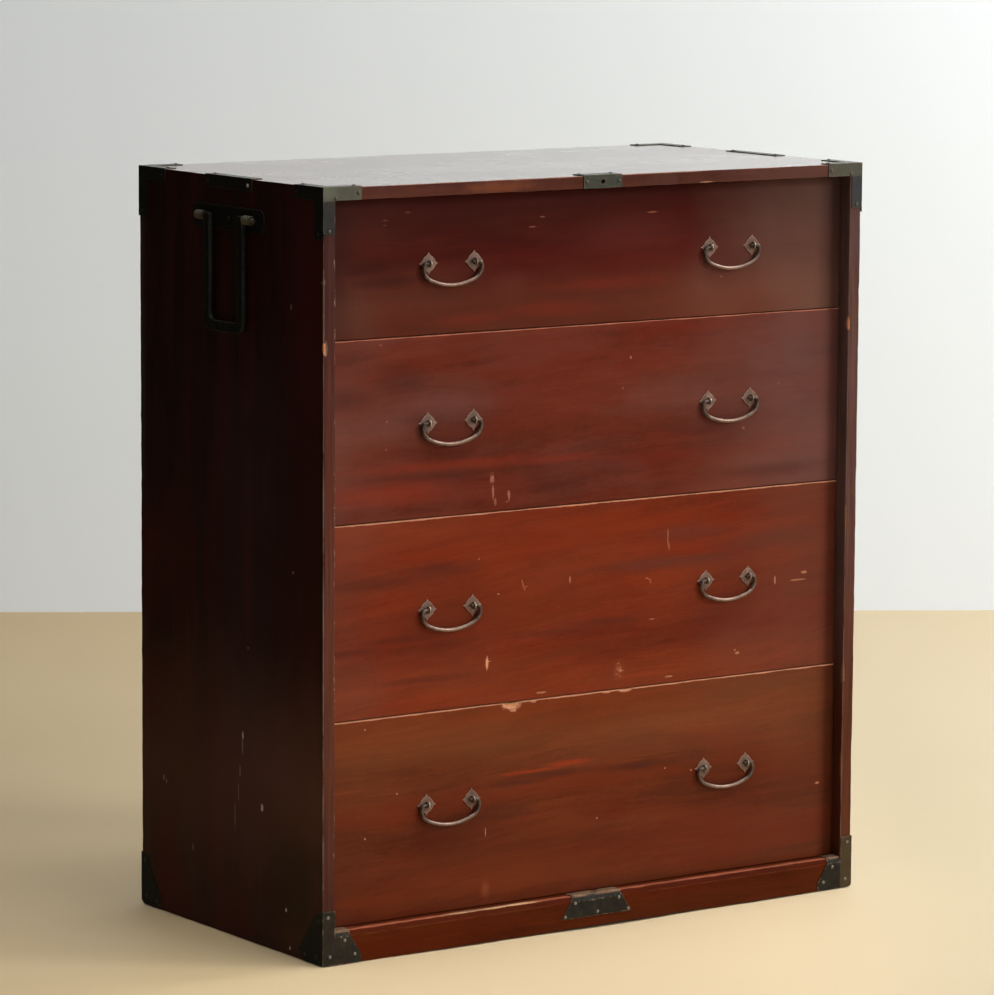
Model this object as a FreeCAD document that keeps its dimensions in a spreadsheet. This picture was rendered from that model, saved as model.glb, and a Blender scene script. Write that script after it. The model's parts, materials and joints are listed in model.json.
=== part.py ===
import FreeCAD, Part
import os
import math
import Sketcher
from FreeCAD import Vector, Rotation, Placement

# A small Japanese storage chest (tansu): a lacquered board carcass with
# iron corner straps, four full-width drawers set back from the front edges,
# two drop bails on each drawer and a carrying-pole bail on each side.
# Row frame: origin on the floor under the middle of the carcass,
# +X to the right, +Y to the back, +Z up. Millimetres.

os.makedirs("parts", exist_ok=True)
doc = FreeCAD.newDocument("tansu_chest")

# ---------------------------------------------------------------------------
# Driving dimensions
# ---------------------------------------------------------------------------
sheet = doc.addObject("Spreadsheet::Sheet", "Dims")
DIMS = [
    # carcass
    ("case_width", 781.0), ("case_depth", 404.0), ("case_high", 900.0),
    ("side_thick", 16.5), ("top_thick", 15.0), ("back_thick", 9.0),
    ("sill_high", 39.4), ("sill_deep", 36.0),
    ("sill_bevel_deep", 2.2), ("sill_bevel_high", 7.0),
    ("floor_top", 40.0), ("floor_thick", 12.0),
    ("shelf_thick", 10.0), ("shelf_tongue", 5.0),
    ("line_1", 723.0), ("line_2", 510.0), ("line_3", 281.0),
    ("worn_corner", 5.0),
    # drawers
    ("front_recess", 17.0), ("front_thick", 18.0), ("front_gap", 0.5),
    ("front_gap_top", 1.5), ("front_foot", 0.2),
    ("drawer_side_gap", 1.0), ("drawer_side_thick", 9.0),
    ("drawer_back_thick", 9.0), ("drawer_floor_thick", 6.0),
    ("drawer_rise", 0.5), ("drawer_head", 5.0), ("drawer_tail", 2.0),
    ("drawer_lap", 10.0), ("drawer_back_drop", 10.0),
    # drawer handles
    ("handle_offset", 203.6), ("post_pitch", 64.0),
    ("grip_1", 806.0), ("grip_2", 620.7), ("grip_3", 402.0), ("grip_4", 171.0),
    ("post_stand", 3.8), ("bail_wire", 4.8), ("bail_outer", 41.0),
    ("bail_tip", 27.0), ("bail_hook", 5.0), ("bail_corner", 15.6),
    ("bail_bow", 78.0),
    ("plate_half", 13.0), ("plate_waist", 5.9), ("plate_thick", 0.8),
    ("eye_wire", 1.8), ("eye_gap", 0.3), ("post_tail", 12.0),
    ("post_tail_thick", 1.6),
    # side carrying bails
    ("carry_high", 853.0), ("carry_stand", 6.5), ("carry_outer", 42.5),
    ("carry_drop", 134.0), ("carry_bar", 12.5), ("carry_thick", 5.5),
    ("carry_round", 13.0), ("carry_round_in", 6.0),
    ("carry_head", 4.0), ("carry_pin", 6.0), ("carry_pin_end", 62.5),
    ("staple_start", 43.6), ("staple_wide", 16.4), ("staple_wall", 2.1),
    ("staple_gap", 0.3), ("staple_deep", 12.0),
    ("carry_plate_half", 78.0), ("carry_plate_low", 838.0),
    ("carry_plate_top", 866.0), ("carry_plate_thick", 1.2),
    ("carry_plate_cut", 6.0),
    # irons
    ("iron_thick", 0.9),
    ("top_iron_wide", 15.0), ("top_iron_front_run", 51.5),
    ("top_iron_front_drop", 54.0), ("top_iron_side_run", 60.0),
    ("top_iron_side_drop", 59.0), ("top_iron_side_wide", 18.0),
    ("foot_iron_low", 0.6), ("foot_iron_high", 64.5),
    ("foot_iron_shelf", 20.5), ("foot_iron_front_run", 52.5),
    ("foot_iron_side_run", 52.0),
    ("lock_half", 28.0), ("lock_lap", 22.0), ("keyhole_wide", 5.4),
    ("sill_plate_top", 36.0), ("sill_plate_foot", 51.5),
    ("sill_plate_low", 12.5), ("iron_lap", 12.8),
    ("slot_from", 0.0), ("slot_to", 11.0), ("slot_wide", 3.6),
    ("strap_half", 51.0), ("strap_drop", 14.0), ("strap_lap", 14.0),
    ("nail_head", 2.5), ("nail_dome", 1.2), ("nail_shank", 0.9),
    ("nail_deep", 8.0),
]
for i, (alias, value) in enumerate(DIMS):
    cell = "B%d" % (i + 1)
    sheet.set("A%d" % (i + 1), alias)
    sheet.set(cell, str(value))
    sheet.setAlias(cell, alias)
doc.recompute()


class Q:
    """A size: its value now and the sheet expression that drives it."""

    def __init__(self, value, text):
        self.v = float(value)
        self.e = text

    @staticmethod
    def of(other):
        if isinstance(other, Q):
            return other
        return Q(other, "(%r)" % float(other))

    def __add__(self, other):
        other = Q.of(other)
        return Q(self.v + other.v, "(%s + %s)" % (self.e, other.e))

    def __radd__(self, other):
        return Q.of(other) + self

    def __sub__(self, other):
        other = Q.of(other)
        return Q(self.v - other.v, "(%s - %s)" % (self.e, other.e))

    def __rsub__(self, other):
        return Q.of(other) - self

    def __mul__(self, other):
        other = Q.of(other)
        return Q(self.v * other.v, "(%s * %s)" % (self.e, other.e))

    def __rmul__(self, other):
        return Q.of(other) * self

    def __truediv__(self, other):
        other = Q.of(other)
        return Q(self.v / other.v, "(%s / %s)" % (self.e, other.e))

    def __neg__(self):
        return Q(-self.v, "(-1 * %s)" % self.e)


def D(alias):
    return Q(sheet.get(alias), "Dims." + alias)


half_w = D("case_width") / 2
half_d = D("case_depth") / 2
top = D("case_high")
side_in = half_w - D("side_thick")            # inner face of a side board
under_top = top - D("top_thick")
back_in = half_d - D("back_thick")
front_y = -half_d                             # plane of the carcass front edges
shelf_front = front_y + D("sill_deep")
face_y = front_y + D("front_recess")          # front faces of the drawers
inner_y = face_y + D("front_thick")

NODES = []                                    # (object, label) written at the end


def node(obj, label):
    obj.Label = label
    NODES.append(obj)
    return obj


# ---------------------------------------------------------------------------
# Helpers
# ---------------------------------------------------------------------------
def bind(obj, prop, size):
    obj.setExpression(prop, Q.of(size).e)


def put(obj, x=None, y=None, z=None, rot=None):
    """Place an object; every given coordinate is driven by the sheet."""
    if rot is not None:
        obj.Placement = Placement(Vector(0, 0, 0), rot)
    for axis, size in (("x", x), ("y", y), ("z", z)):
        if size is not None:
            bind(obj, "Placement.Base." + axis, size)
    return obj


def body(name):
    return doc.addObject("PartDesign::Body", name)


def plane(bod, role):
    for feature in bod.Origin.OriginFeatures:
        if feature.Role == role:
            return feature
    raise ValueError(role)


def sketch(bod, name, role, offset=None):
    """A sketch on one of the body's own planes, moved along its normal."""
    sk = bod.newObject("Sketcher::SketchObject", name)
    sk.AttachmentSupport = [(plane(bod, role), "")]
    sk.MapMode = "FlatFace"
    if offset is not None:
        off = Q.of(offset)
        sk.AttachmentOffset = Placement(Vector(0, 0, off.v), Rotation())
        sk.setExpression("AttachmentOffset.Base.z", off.e)
    return sk


def outline(sk, points):
    """One closed polygon; each corner is held to the origin by two sizes."""
    pts = [(Q.of(a), Q.of(b)) for a, b in points]
    first = sk.GeometryCount
    n = len(pts)
    for i in range(n):
        p, q = pts[i], pts[(i + 1) % n]
        sk.addGeometry(Part.LineSegment(Vector(p[0].v, p[1].v, 0),
                                        Vector(q[0].v, q[1].v, 0)), False)
    for i in range(n):
        sk.addConstraint(Sketcher.Constraint("Coincident", first + i, 2,
                                             first + (i + 1) % n, 1))
    for i in range(n):
        for kind, size in (("DistanceX", pts[i][0]), ("DistanceY", pts[i][1])):
            idx = sk.addConstraint(Sketcher.Constraint(kind, -1, 1, first + i, 1, size.v))
            sk.setExpression("Constraints[%d]" % idx, size.e)
    return sk


def circle(sk, cx, cy, radius):
    cx, cy, radius = Q.of(cx), Q.of(cy), Q.of(radius)
    g = sk.addGeometry(Part.Circle(Vector(cx.v, cy.v, 0), Vector(0, 0, 1), radius.v), False)
    for kind, args, size in (("DistanceX", (-1, 1, g, 3), cx),
                             ("DistanceY", (-1, 1, g, 3), cy),
                             ("Radius", (g,), radius)):
        idx = sk.addConstraint(Sketcher.Constraint(kind, *args, size.v))
        sk.setExpression("Constraints[%d]" % idx, size.e)
    return sk


def pad(bod, sk, length, reverse=False, name="Pad"):
    feat = bod.newObject("PartDesign::Pad", name)
    feat.Profile = sk
    length = Q.of(length)
    feat.Length = length.v
    feat.setExpression("Length", length.e)
    feat.Reversed = reverse
    sk.Visibility = False
    return feat


def pocket(bod, sk, length, reverse=False, name="Pocket"):
    """Cut, and prove that the cut removed material."""
    doc.recompute()
    before = bod.Shape.Volume
    feat = bod.newObject("PartDesign::Pocket", name)
    feat.Profile = sk
    length = Q.of(length)
    feat.Length = length.v
    feat.setExpression("Length", length.e)
    feat.Reversed = reverse
    doc.recompute()
    after = bod.Shape.Volume
    if not after < before - 1e-3:
        raise RuntimeError("pocket %s in %s cut nothing" % (name, bod.Name))
    return feat


def board(label, role, points, length, offset, reverse=False):
    """A flat board: one outline on a plane, padded to its thickness."""
    b = body(label + "_body")
    sk = sketch(b, label + "_outline", role, offset)
    outline(sk, points)
    pad(b, sk, length, reverse, label + "_pad")
    return node(b, label)


# Sketch planes. XY: (x, y), normal +Z. XZ: (x, z), normal -Y.
# YZ: (y, z), normal +X.

# ---------------------------------------------------------------------------
# Carcass boards
# ---------------------------------------------------------------------------
FINGERS = 7
finger = D("case_depth") / FINGERS


def side_board(label, sx):
    # outline with comb fingers along the top and worn lower corners
    pts = [(-half_d + D("worn_corner") * 0.4, Q.of(0)),
           (half_d - D("worn_corner"), Q.of(0)),
           (half_d, D("worn_corner"))]
    for k in range(FINGERS, 0, -1):
        z = under_top if (k % 2) else top
        pts.append((-half_d + finger * k, z))
        pts.append((-half_d + finger * (k - 1), z))
    pts.append((-half_d, D("worn_corner") * 0.4))
    b = body(label + "_body")
    sk = sketch(b, label + "_outline", "YZ_Plane", side_in * sx)
    outline(sk, pts)
    pad(b, sk, D("side_thick"), sx < 0, label + "_pad")
    # grooves that take the ends of the shelves and of the carcass floor
    groove = sketch(b, label + "_grooves", "YZ_Plane", side_in * sx)
    bands = [(D("floor_top") - D("floor_thick"), D("floor_top"))]
    for alias in ("line_1", "line_2", "line_3"):
        bands.append((D(alias) - D("shelf_thick") / 2, D(alias) + D("shelf_thick") / 2))
    for low, high in bands:
        outline(groove, [(shelf_front, low), (back_in, low), (back_in, high), (shelf_front, high)])
    pocket(b, groove, D("shelf_tongue"), sx > 0, label + "_groove_cut")
    return node(b, label)


side_board("side_panel_left", -1)
side_board("side_panel_right", 1)

# top board, its comb fingers reaching over the side boards
pts = []
for k in range(FINGERS):
    x = half_w if (k % 2) == 0 else side_in
    pts.append((x, -half_d + finger * k))
    pts.append((x, -half_d + finger * (k + 1)))
for k in range(FINGERS - 1, -1, -1):
    x = half_w if (k % 2) == 0 else side_in
    pts.append((-x, -half_d + finger * (k + 1)))
    pts.append((-x, -half_d + finger * k))
tb = body("top_panel_body")
tsk = sketch(tb, "top_panel_outline", "XY_Plane", under_top)
outline(tsk, pts)
pad(tb, tsk, D("top_thick"), False, "top_panel_pad")
# keyhole bored into the front edge
ksk = sketch(tb, "top_panel_keyhole", "XZ_Plane", half_d)
key_z = top - D("top_thick") / 2
circle(ksk, 0, key_z + 0.6, D("keyhole_wide") / 2)
pocket(tb, ksk, 18, False, "top_panel_keyhole_cut")
node(tb, "top_panel")

board("back_panel", "XY_Plane",
      [(-side_in, back_in), (side_in, back_in), (side_in, half_d), (-side_in, half_d)],
      under_top - 1.0, 1.0)

tongue_x = side_in + D("shelf_tongue")
board("bottom_panel", "XY_Plane",
      [(-tongue_x, shelf_front), (tongue_x, shelf_front), (tongue_x, back_in), (-tongue_x, back_in)],
      D("floor_thick"), D("floor_top") - D("floor_thick"))

for n in (1, 2, 3):
    board("divider_board_%d" % n, "XY_Plane",
          [(-tongue_x, shelf_front), (tongue_x, shelf_front), (tongue_x, back_in), (-tongue_x, back_in)],
          D("shelf_thick"), D("line_%d" % n) - D("shelf_thick") / 2)

# front sill: bevelled top edge, slot for the tongue of a loose front panel
sill_top = D("sill_high")
bevel_z = sill_top - D("sill_bevel_high")
bevel_y = front_y + D("sill_bevel_deep")
sb = body("front_sill_body")
ssk = sketch(sb, "front_sill_section", "YZ_Plane", -side_in)
outline(ssk, [(front_y, 0), (shelf_front, 0), (shelf_front, sill_top), (bevel_y, sill_top), (front_y, bevel_z)])
pad(sb, ssk, side_in * 2, False, "front_sill_pad")
slot_y = face_y - 2.0
slsk = sketch(sb, "front_sill_slot", "XY_Plane", sill_top)
outline(slsk, [(D("slot_from"), slot_y - D("slot_wide")), (D("slot_to"), slot_y - D("slot_wide")),
               (D("slot_to"), slot_y), (D("slot_from"), slot_y)])
pocket(sb, slsk, 10, False, "front_sill_slot_cut")
node(sb, "front_sill")

# ---------------------------------------------------------------------------
# Drawers
# ---------------------------------------------------------------------------
drawer_x = side_in - D("drawer_side_gap")
box_in_x = drawer_x - D("drawer_side_thick")
box_back = back_in - D("drawer_tail")
lap_y = inner_y - D("drawer_lap")
half_shelf = D("shelf_thick") / 2

levels = {
    1: (D("line_1") + D("front_gap"), under_top - D("front_gap_top"),
        D("line_1") + half_shelf + D("drawer_rise"), under_top - D("drawer_head") - 4),
    2: (D("line_2") + D("front_gap"), D("line_1") - D("front_gap"),
        D("line_2") + half_shelf + D("drawer_rise"), D("line_1") - half_shelf - D("drawer_head")),
    3: (D("line_3") + D("front_gap"), D("line_2") - D("front_gap"),
        D("line_3") + half_shelf + D("drawer_rise"), D("line_2") - half_shelf - D("drawer_head")),
    4: (D("floor_top") + D("front_foot"), D("line_3") - D("front_gap"),
        D("floor_top") + D("drawer_rise"), D("line_3") - half_shelf - D("drawer_head")),
}

for n, (front_low, front_high, box_low, box_high) in levels.items():
    name = "drawer_%d_" % n
    # front board, rabbeted at both ends for the sides
    board(name + "front", "XY_Plane",
          [(-drawer_x, face_y), (drawer_x, face_y), (drawer_x, lap_y), (box_in_x, lap_y),
           (box_in_x, inner_y), (-box_in_x, inner_y), (-box_in_x, lap_y), (-drawer_x, lap_y)],
          front_high - front_low, front_low)
    floor_up = box_low + D("drawer_floor_thick")
    # two side boards
    sb = body(name + "sides_body")
    sk = sketch(sb, name + "sides_outline", "XY_Plane", floor_up)
    for sx in (-1, 1):
        outline(sk, [(box_in_x * sx, lap_y), (drawer_x * sx, lap_y),
                     (drawer_x * sx, box_back), (box_in_x * sx, box_back)])
    pad(sb, sk, box_high - floor_up, False, name + "sides_pad")
    node(sb, name + "sides")
    board(name + "back", "XY_Plane",
          [(-box_in_x, box_back - D("drawer_back_thick")), (box_in_x, box_back - D("drawer_back_thick")),
           (box_in_x, box_back), (-box_in_x, box_back)],
          box_high - floor_up - D("drawer_back_drop"), floor_up)
    board(name + "bottom", "XY_Plane",
          [(-drawer_x, inner_y), (drawer_x, inner_y), (drawer_x, box_back), (-drawer_x, box_back)],
          D("drawer_floor_thick"), box_low)

    # handle plates: four thin cusped diamonds
    grip = D("grip_%d" % n)
    half_pitch = D("post_pitch") / 2
    half, waist = D("plate_half"), D("plate_waist")
    pb = body(name + "handle_plates_body")
    psk = sketch(pb, name + "handle_plates_outline", "XZ_Plane", -face_y)
    for hx in (-1, 1):
        for px in (-1, 1):
            cx = D("handle_offset") * hx + half_pitch * px
            outline(psk, [(cx + half, grip), (cx + waist, grip + waist),
                          (cx, grip + half), (cx - waist, grip + waist),
                          (cx - half, grip), (cx - waist, grip - waist),
                          (cx, grip - half), (cx + waist, grip - waist)])
    pad(pb, psk, D("plate_thick"), False, name + "handle_plates_pad")
    node(pb, name + "handle_plates")

    # split pins: eye, shank through the front, two clinched tails inside
    eye_y = face_y - D("post_stand")
    eye_r = D("bail_wire") / 2 + D("eye_gap") + D("eye_wire") / 2
    pins = []
    for hx in (-1, 1):
        for px in (-1, 1):
            tag = name + "post_%s%s" % ("l" if hx < 0 else "r", "l" if px < 0 else "r")
            cx = D("handle_offset") * hx + half_pitch * px
            eye = doc.addObject("Part::Torus", tag + "_eye")
            bind(eye, "Radius1", eye_r)
            bind(eye, "Radius2", D("eye_wire") / 2)
            put(eye, cx, eye_y, grip, Rotation(Vector(0, 1, 0), 90))
            shank = doc.addObject("Part::Box", tag + "_shank")
            bind(shank, "Length", D("eye_wire") * 1.2)
            shank_from = eye_y + eye_r - D("eye_wire") * 0.2
            bind(shank, "Width", inner_y + D("post_tail_thick") - shank_from)
            bind(shank, "Height", D("eye_wire") * 2)
            put(shank, cx - D("eye_wire") * 0.6, shank_from, grip - D("eye_wire"))
            tail = doc.addObject("Part::Box", tag + "_tail")
            bind(tail, "Length", D("eye_wire") * 1.2)
            bind(tail, "Width", D("post_tail_thick"))
            bind(tail, "Height", D("post_tail") * 2)
            put(tail, cx - D("eye_wire") * 0.6, inner_y, grip - D("post_tail"))
            pin = doc.addObject("Part::MultiFuse", tag)
            pin.Shapes = [eye, shank, tail]
            pins.append(pin)
    group = doc.addObject("Part::Compound", name + "handle_posts_group")
    group.Links = pins
    node(group, name + "handle_posts")

    # bails: round iron, hooked inwards through the two eyes
    for hx, side in ((-1, "left"), (1, "right")):
        label = name + "bail_" + side
        bb = body(label + "_body")
        path = sketch(bb, label + "_path", "XZ_Plane")
        out, hook = D("bail_outer").v, D("bail_hook").v
        rc, rb, tip = D("bail_corner").v, D("bail_bow").v, D("bail_tip").v
        zc = -hook + math.sqrt((rb - rc) ** 2 - (out - rc) ** 2)
        th = math.atan2(out - rc, zc + hook)
        up = Vector(0, 0, 1)

        def arc(cx, cy, r, a0, a1):
            return Part.ArcOfCircle(Part.Circle(Vector(cx, cy, 0), up, r), a0, a1)

        g0 = path.addGeometry(Part.LineSegment(Vector(tip, 0, 0), Vector(out - hook, 0, 0)), False)
        g1 = path.addGeometry(arc(out - hook, -hook, hook, 0, math.pi / 2), False)
        g2 = path.addGeometry(arc(out - rc, -hook, rc, -math.pi / 2 + th, 0), False)
        g3 = path.addGeometry(arc(0, zc, rb, -math.pi / 2 - th, -math.pi / 2 + th), False)
        g4 = path.addGeometry(arc(-(out - rc), -hook, rc, math.pi, 1.5 * math.pi - th), False)
        g5 = path.addGeometry(arc(-(out - hook), -hook, hook, math.pi / 2, math.pi), False)
        g6 = path.addGeometry(Part.LineSegment(Vector(-(out - hook), 0, 0), Vector(-tip, 0, 0)), False)
        for a, pa, b2, pb2 in ((g0, 2, g1, 2), (g1, 1, g2, 2), (g2, 1, g3, 2),
                               (g3, 1, g4, 2), (g4, 1, g5, 2), (g5, 1, g6, 1)):
            path.addConstraint(Sketcher.Constraint("Tangent", a, pa, b2, pb2))

        def hold(kind, args, size):
            size = Q.of(size)
            idx = path.addConstraint(Sketcher.Constraint(kind, *args, size.v))
            path.setExpression("Constraints[%d]" % idx, size.e)

        hold("DistanceX", (-1, 1, g0, 1), D("bail_tip"))
        hold("DistanceY", (-1, 1, g0, 1), 0)
        hold("DistanceX", (-1, 1, g6, 2), -D("bail_tip"))
        hold("DistanceY", (-1, 1, g6, 2), 0)
        path.addConstraint(Sketcher.Constraint("Horizontal", g0))
        path.addConstraint(Sketcher.Constraint("Horizontal", g6))
        hold("DistanceX", (-1, 1, g1, 3), D("bail_outer") - D("bail_hook"))
        hold("DistanceY", (-1, 1, g1, 3), -D("bail_hook"))
        hold("DistanceX", (-1, 1, g5, 3), D("bail_hook") - D("bail_outer"))
        hold("DistanceY", (-1, 1, g5, 3), -D("bail_hook"))
        hold("DistanceY", (-1, 1, g2, 3), -D("bail_hook"))
        hold("Radius", (g2,), D("bail_corner"))
        hold("DistanceY", (-1, 1, g4, 3), -D("bail_hook"))
        hold("Radius", (g4,), D("bail_corner"))
        hold("Radius", (g3,), D("bail_bow"))
        section = sketch(bb, label + "_section", "YZ_Plane", D("bail_tip"))
        circle(section, 0, 0, D("bail_wire") / 2)
        pipe = bb.newObject("PartDesign::AdditivePipe", label + "_pipe")
        pipe.Profile = section
        pipe.Spine = path
        put(bb, D("handle_offset") * hx, eye_y, grip)
        node(bb, label)

# ---------------------------------------------------------------------------
# Side carrying bails, their staples and back plates
# ---------------------------------------------------------------------------
for sx, side in ((-1, "left"), (1, "right")):
    face = half_w * sx
    # back plate with clipped corners
    cut = D("carry_plate_cut")
    half = D("carry_plate_half")
    low, high = D("carry_plate_low"), D("carry_plate_top")
    board("side_handle_plate_" + side, "YZ_Plane",
          [(-half + cut, low), (half - cut, low), (half, low + cut), (half, high - cut),
           (half - cut, high), (-half + cut, high), (-half, high - cut), (-half, low + cut)],
          D("carry_plate_thick"), face, sx < 0)

    # the bail: flat bar bent to a U, its ends drawn out to round pins
    label = "side_handle_bail_" + side
    hb = body(label + "_body")
    sk = sketch(hb, label + "_outline", "YZ_Plane", -D("carry_thick") / 2)
    o, bar = D("carry_outer"), D("carry_bar")
    drop, head = D("carry_drop"), D("carry_head")
    r_out, r_in = D("carry_round"), D("carry_round_in")
    k_out, k_in = r_out * 0.2929, r_in * 0.2929
    outline(sk, [
        (-o, head - 2), (-o, -drop + r_out), (-o + k_out, -drop + k_out), (-o + r_out, -drop),
        (o - r_out, -drop), (o - k_out, -drop + k_out), (o, -drop + r_out), (o, head - 2),
        (o - 2, head), (o - bar + 1.5, head), (o - bar, head - 1.5),
        (o - bar, -drop + bar + r_in), (o - bar - k_in, -drop + bar + k_in),
        (o - bar - r_in, -drop + bar),
        (-o + bar + r_in, -drop + bar), (-o + bar + k_in, -drop + bar + k_in),
        (-o + bar, -drop + bar + r_in), (-o + bar, head - 1.5),
        (-o + bar - 1.5, head), (-o + 2, head)])
    pad(hb, sk, D("carry_thick"), False, label + "_bar")
    for sy in (-1, 1):
        tag = label + ("_pin_rear" if sy > 0 else "_pin_front")
        # XZ sketch normal is -Y, so a plane at y needs an offset of -y
        pk = sketch(hb, tag + "_circle", "XZ_Plane", -(o - bar / 2) * sy)
        circle(pk, 0, 0, D("carry_pin") / 2)
        pad(hb, pk, D("carry_pin_end") - (o - bar / 2), sy > 0, tag)
    put(hb, (half_w + D("carry_stand")) * sx, 0, D("carry_high"))
    node(hb, label)

    # two strap-iron staples driven through the plate into the side board
    staples = []
    eye_out = D("carry_pin") / 2 + D("staple_gap") + D("staple_wall")
    for sy in (-1, 1):
        tag = "side_handle_staple_%s_%s" % (side, "rear" if sy > 0 else "front")
        y0 = D("staple_start") if sy > 0 else -(D("staple_start") + D("staple_wide"))
        ring = doc.addObject("Part::Cylinder", tag + "_ring")
        bind(ring, "Radius", eye_out)
        bind(ring, "Height", D("staple_wide"))
        put(ring, (half_w + D("carry_stand")) * sx, y0, D("carry_high"), Rotation(Vector(1, 0, 0), -90))
        shank = doc.addObject("Part::Box", tag + "_shank")
        bind(shank, "Length", D("carry_stand") + D("staple_deep"))
        bind(shank, "Width", D("staple_wide"))
        bind(shank, "Height", D("staple_wall") * 2)
        x0 = (half_w - D("staple_deep")) if sx > 0 else -(half_w + D("carry_stand"))
        put(shank, x0, y0, D("carry_high") - D("staple_wall"))
        whole = doc.addObject("Part::MultiFuse", tag + "_blank")
        whole.Shapes = [ring, shank]
        bore = doc.addObject("Part::Cylinder", tag + "_bore")
        bind(bore, "Radius", D("carry_pin") / 2 + D("staple_gap"))
        bind(bore, "Height", D("staple_wide") + 2)
        put(bore, (half_w + D("carry_stand")) * sx, y0 - 1, D("carry_high"), Rotation(Vector(1, 0, 0), -90))
        staple = doc.addObject("Part::Cut", tag)
        staple.Base = whole
        staple.Tool = bore
        staples.append(staple)
    group = doc.addObject("Part::Compound", "side_handle_staples_%s_group" % side)
    group.Links = staples
    node(group, "side_handle_staples_" + side)

# ---------------------------------------------------------------------------
# Irons: thin forged straps folded round the corners and edges
# ---------------------------------------------------------------------------
it = D("iron_thick")


def front_or_back(sy):
    """Offset of an XZ sketch on the front (sy -1) or back face, and its side."""
    return (half_d if sy < 0 else -half_d), (sy > 0)


def top_corner(label, sx, sy):
    b = body(label + "_body")
    wide = D("top_iron_wide")
    x_out, y_out = half_w + it, half_d + it
    # on the top: an L along the front (or back) edge and the side edge
    a = sketch(b, label + "_over", "XY_Plane", top)
    outline(a, [(x_out * sx, y_out * sy), ((half_w - D("top_iron_front_run")) * sx, y_out * sy),
                ((half_w - D("top_iron_front_run")) * sx, (half_d - wide) * sy),
                ((half_w - wide) * sx, (half_d - wide) * sy),
                ((half_w - wide) * sx, (half_d - D("top_iron_side_run")) * sy),
                (x_out * sx, (half_d - D("top_iron_side_run")) * sy)])
    pad(b, a, it, False, label + "_over_pad")
    # on the front (or back)
    off, rev = front_or_back(sy)
    c = sketch(b, label + "_front", "XZ_Plane", off)
    outline(c, [(x_out * sx, top + it), ((half_w - D("top_iron_front_run")) * sx, top + it),
                ((half_w - D("top_iron_front_run")) * sx, top - wide),
                ((half_w - wide) * sx, top - wide),
                ((half_w - wide) * sx, top - D("top_iron_front_drop")),
                (x_out * sx, top - D("top_iron_front_drop"))])
    pad(b, c, it, rev, label + "_front_pad")
    # on the side
    e = sketch(b, label + "_side", "YZ_Plane", half_w * sx)
    sw = D("top_iron_side_wide")
    outline(e, [(y_out * sy, top + it), ((half_d - D("top_iron_side_run")) * sy, top + it),
                ((half_d - D("top_iron_side_run")) * sy, top - wide),
                ((half_d - sw) * sy, top - wide),
                ((half_d - sw) * sy, top - D("top_iron_side_drop")),
                (y_out * sy, top - D("top_iron_side_drop"))])
    pad(b, e, it, sx < 0, label + "_side_pad")
    node(b, label)


for sy, fb in ((-1, "front"), (1, "rear")):
    for sx, lr in ((-1, "left"), (1, "right")):
        top_corner("corner_iron_top_%s_%s" % (fb, lr), sx, sy)

iron_low = D("foot_iron_low")


def sill_wrap(b, label, x_from, x_to, low):
    """Strap section folded over the bevelled sill, padded along X."""
    sk = sketch(b, label + "_wrap", "YZ_Plane", x_from)
    outline(sk, [(front_y, low), (front_y, bevel_z), (bevel_y, sill_top),
                 (front_y + D("sill_bevel_deep") + D("iron_lap"), sill_top),
                 (front_y + D("sill_bevel_deep") + D("iron_lap"), sill_top + it),
                 (bevel_y - it * 0.7, sill_top + it), (front_y - it, bevel_z + it * 0.25),
                 (front_y - it, low)])
    pad(b, sk, x_to - x_from, False, label + "_wrap_pad")


def foot_corner_front(label, sx):
    b = body(label + "_body")
    inner = side_in * sx
    shelf_x = (side_in - D("foot_iron_shelf")) * sx
    run_x = (half_w - D("foot_iron_front_run")) * sx
    if sx < 0:
        sill_wrap(b, label, inner, run_x, iron_low)
    else:
        sill_wrap(b, label, run_x, inner, iron_low)
    # cut the strap back to its slanted end
    s = sketch(b, label + "_slant", "XZ_Plane", half_d + 2)
    outline(s, [(shelf_x, sill_top + 3), (shelf_x, bevel_z + 1), (run_x, 10.0),
                (run_x - 3.0 * sx, 10.0), (run_x - 3.0 * sx, sill_top + 3)])
    pocket(b, s, 20, False, label + "_slant_cut")
    # the upright arm on the front edge of the side board
    a = sketch(b, label + "_front", "XZ_Plane", half_d)
    x_out = (half_w + it) * sx
    outline(a, [(x_out, iron_low), (inner - 1.0 * sx, iron_low), (inner - 1.0 * sx, bevel_z - 1.0),
                (inner, bevel_z - 1.0), (inner, D("foot_iron_high")), (x_out, D("foot_iron_high"))])
    pad(b, a, it, False, label + "_front_pad")
    # the slanted foot on the outer side
    e = sketch(b, label + "_side", "YZ_Plane", half_w * sx)
    outline(e, [(-half_d - it, iron_low), (-half_d + 36.0, iron_low),
                (-half_d + D("foot_iron_side_run"), 12.0),
                (-half_d + D("foot_iron_side_run") - 6.0, 20.0),
                (-half_d + 13.0, D("foot_iron_high") - 3.0), (-half_d - it, D("foot_iron_high"))])
    pad(b, e, it, sx < 0, label + "_side_pad")
    node(b, label)


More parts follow.
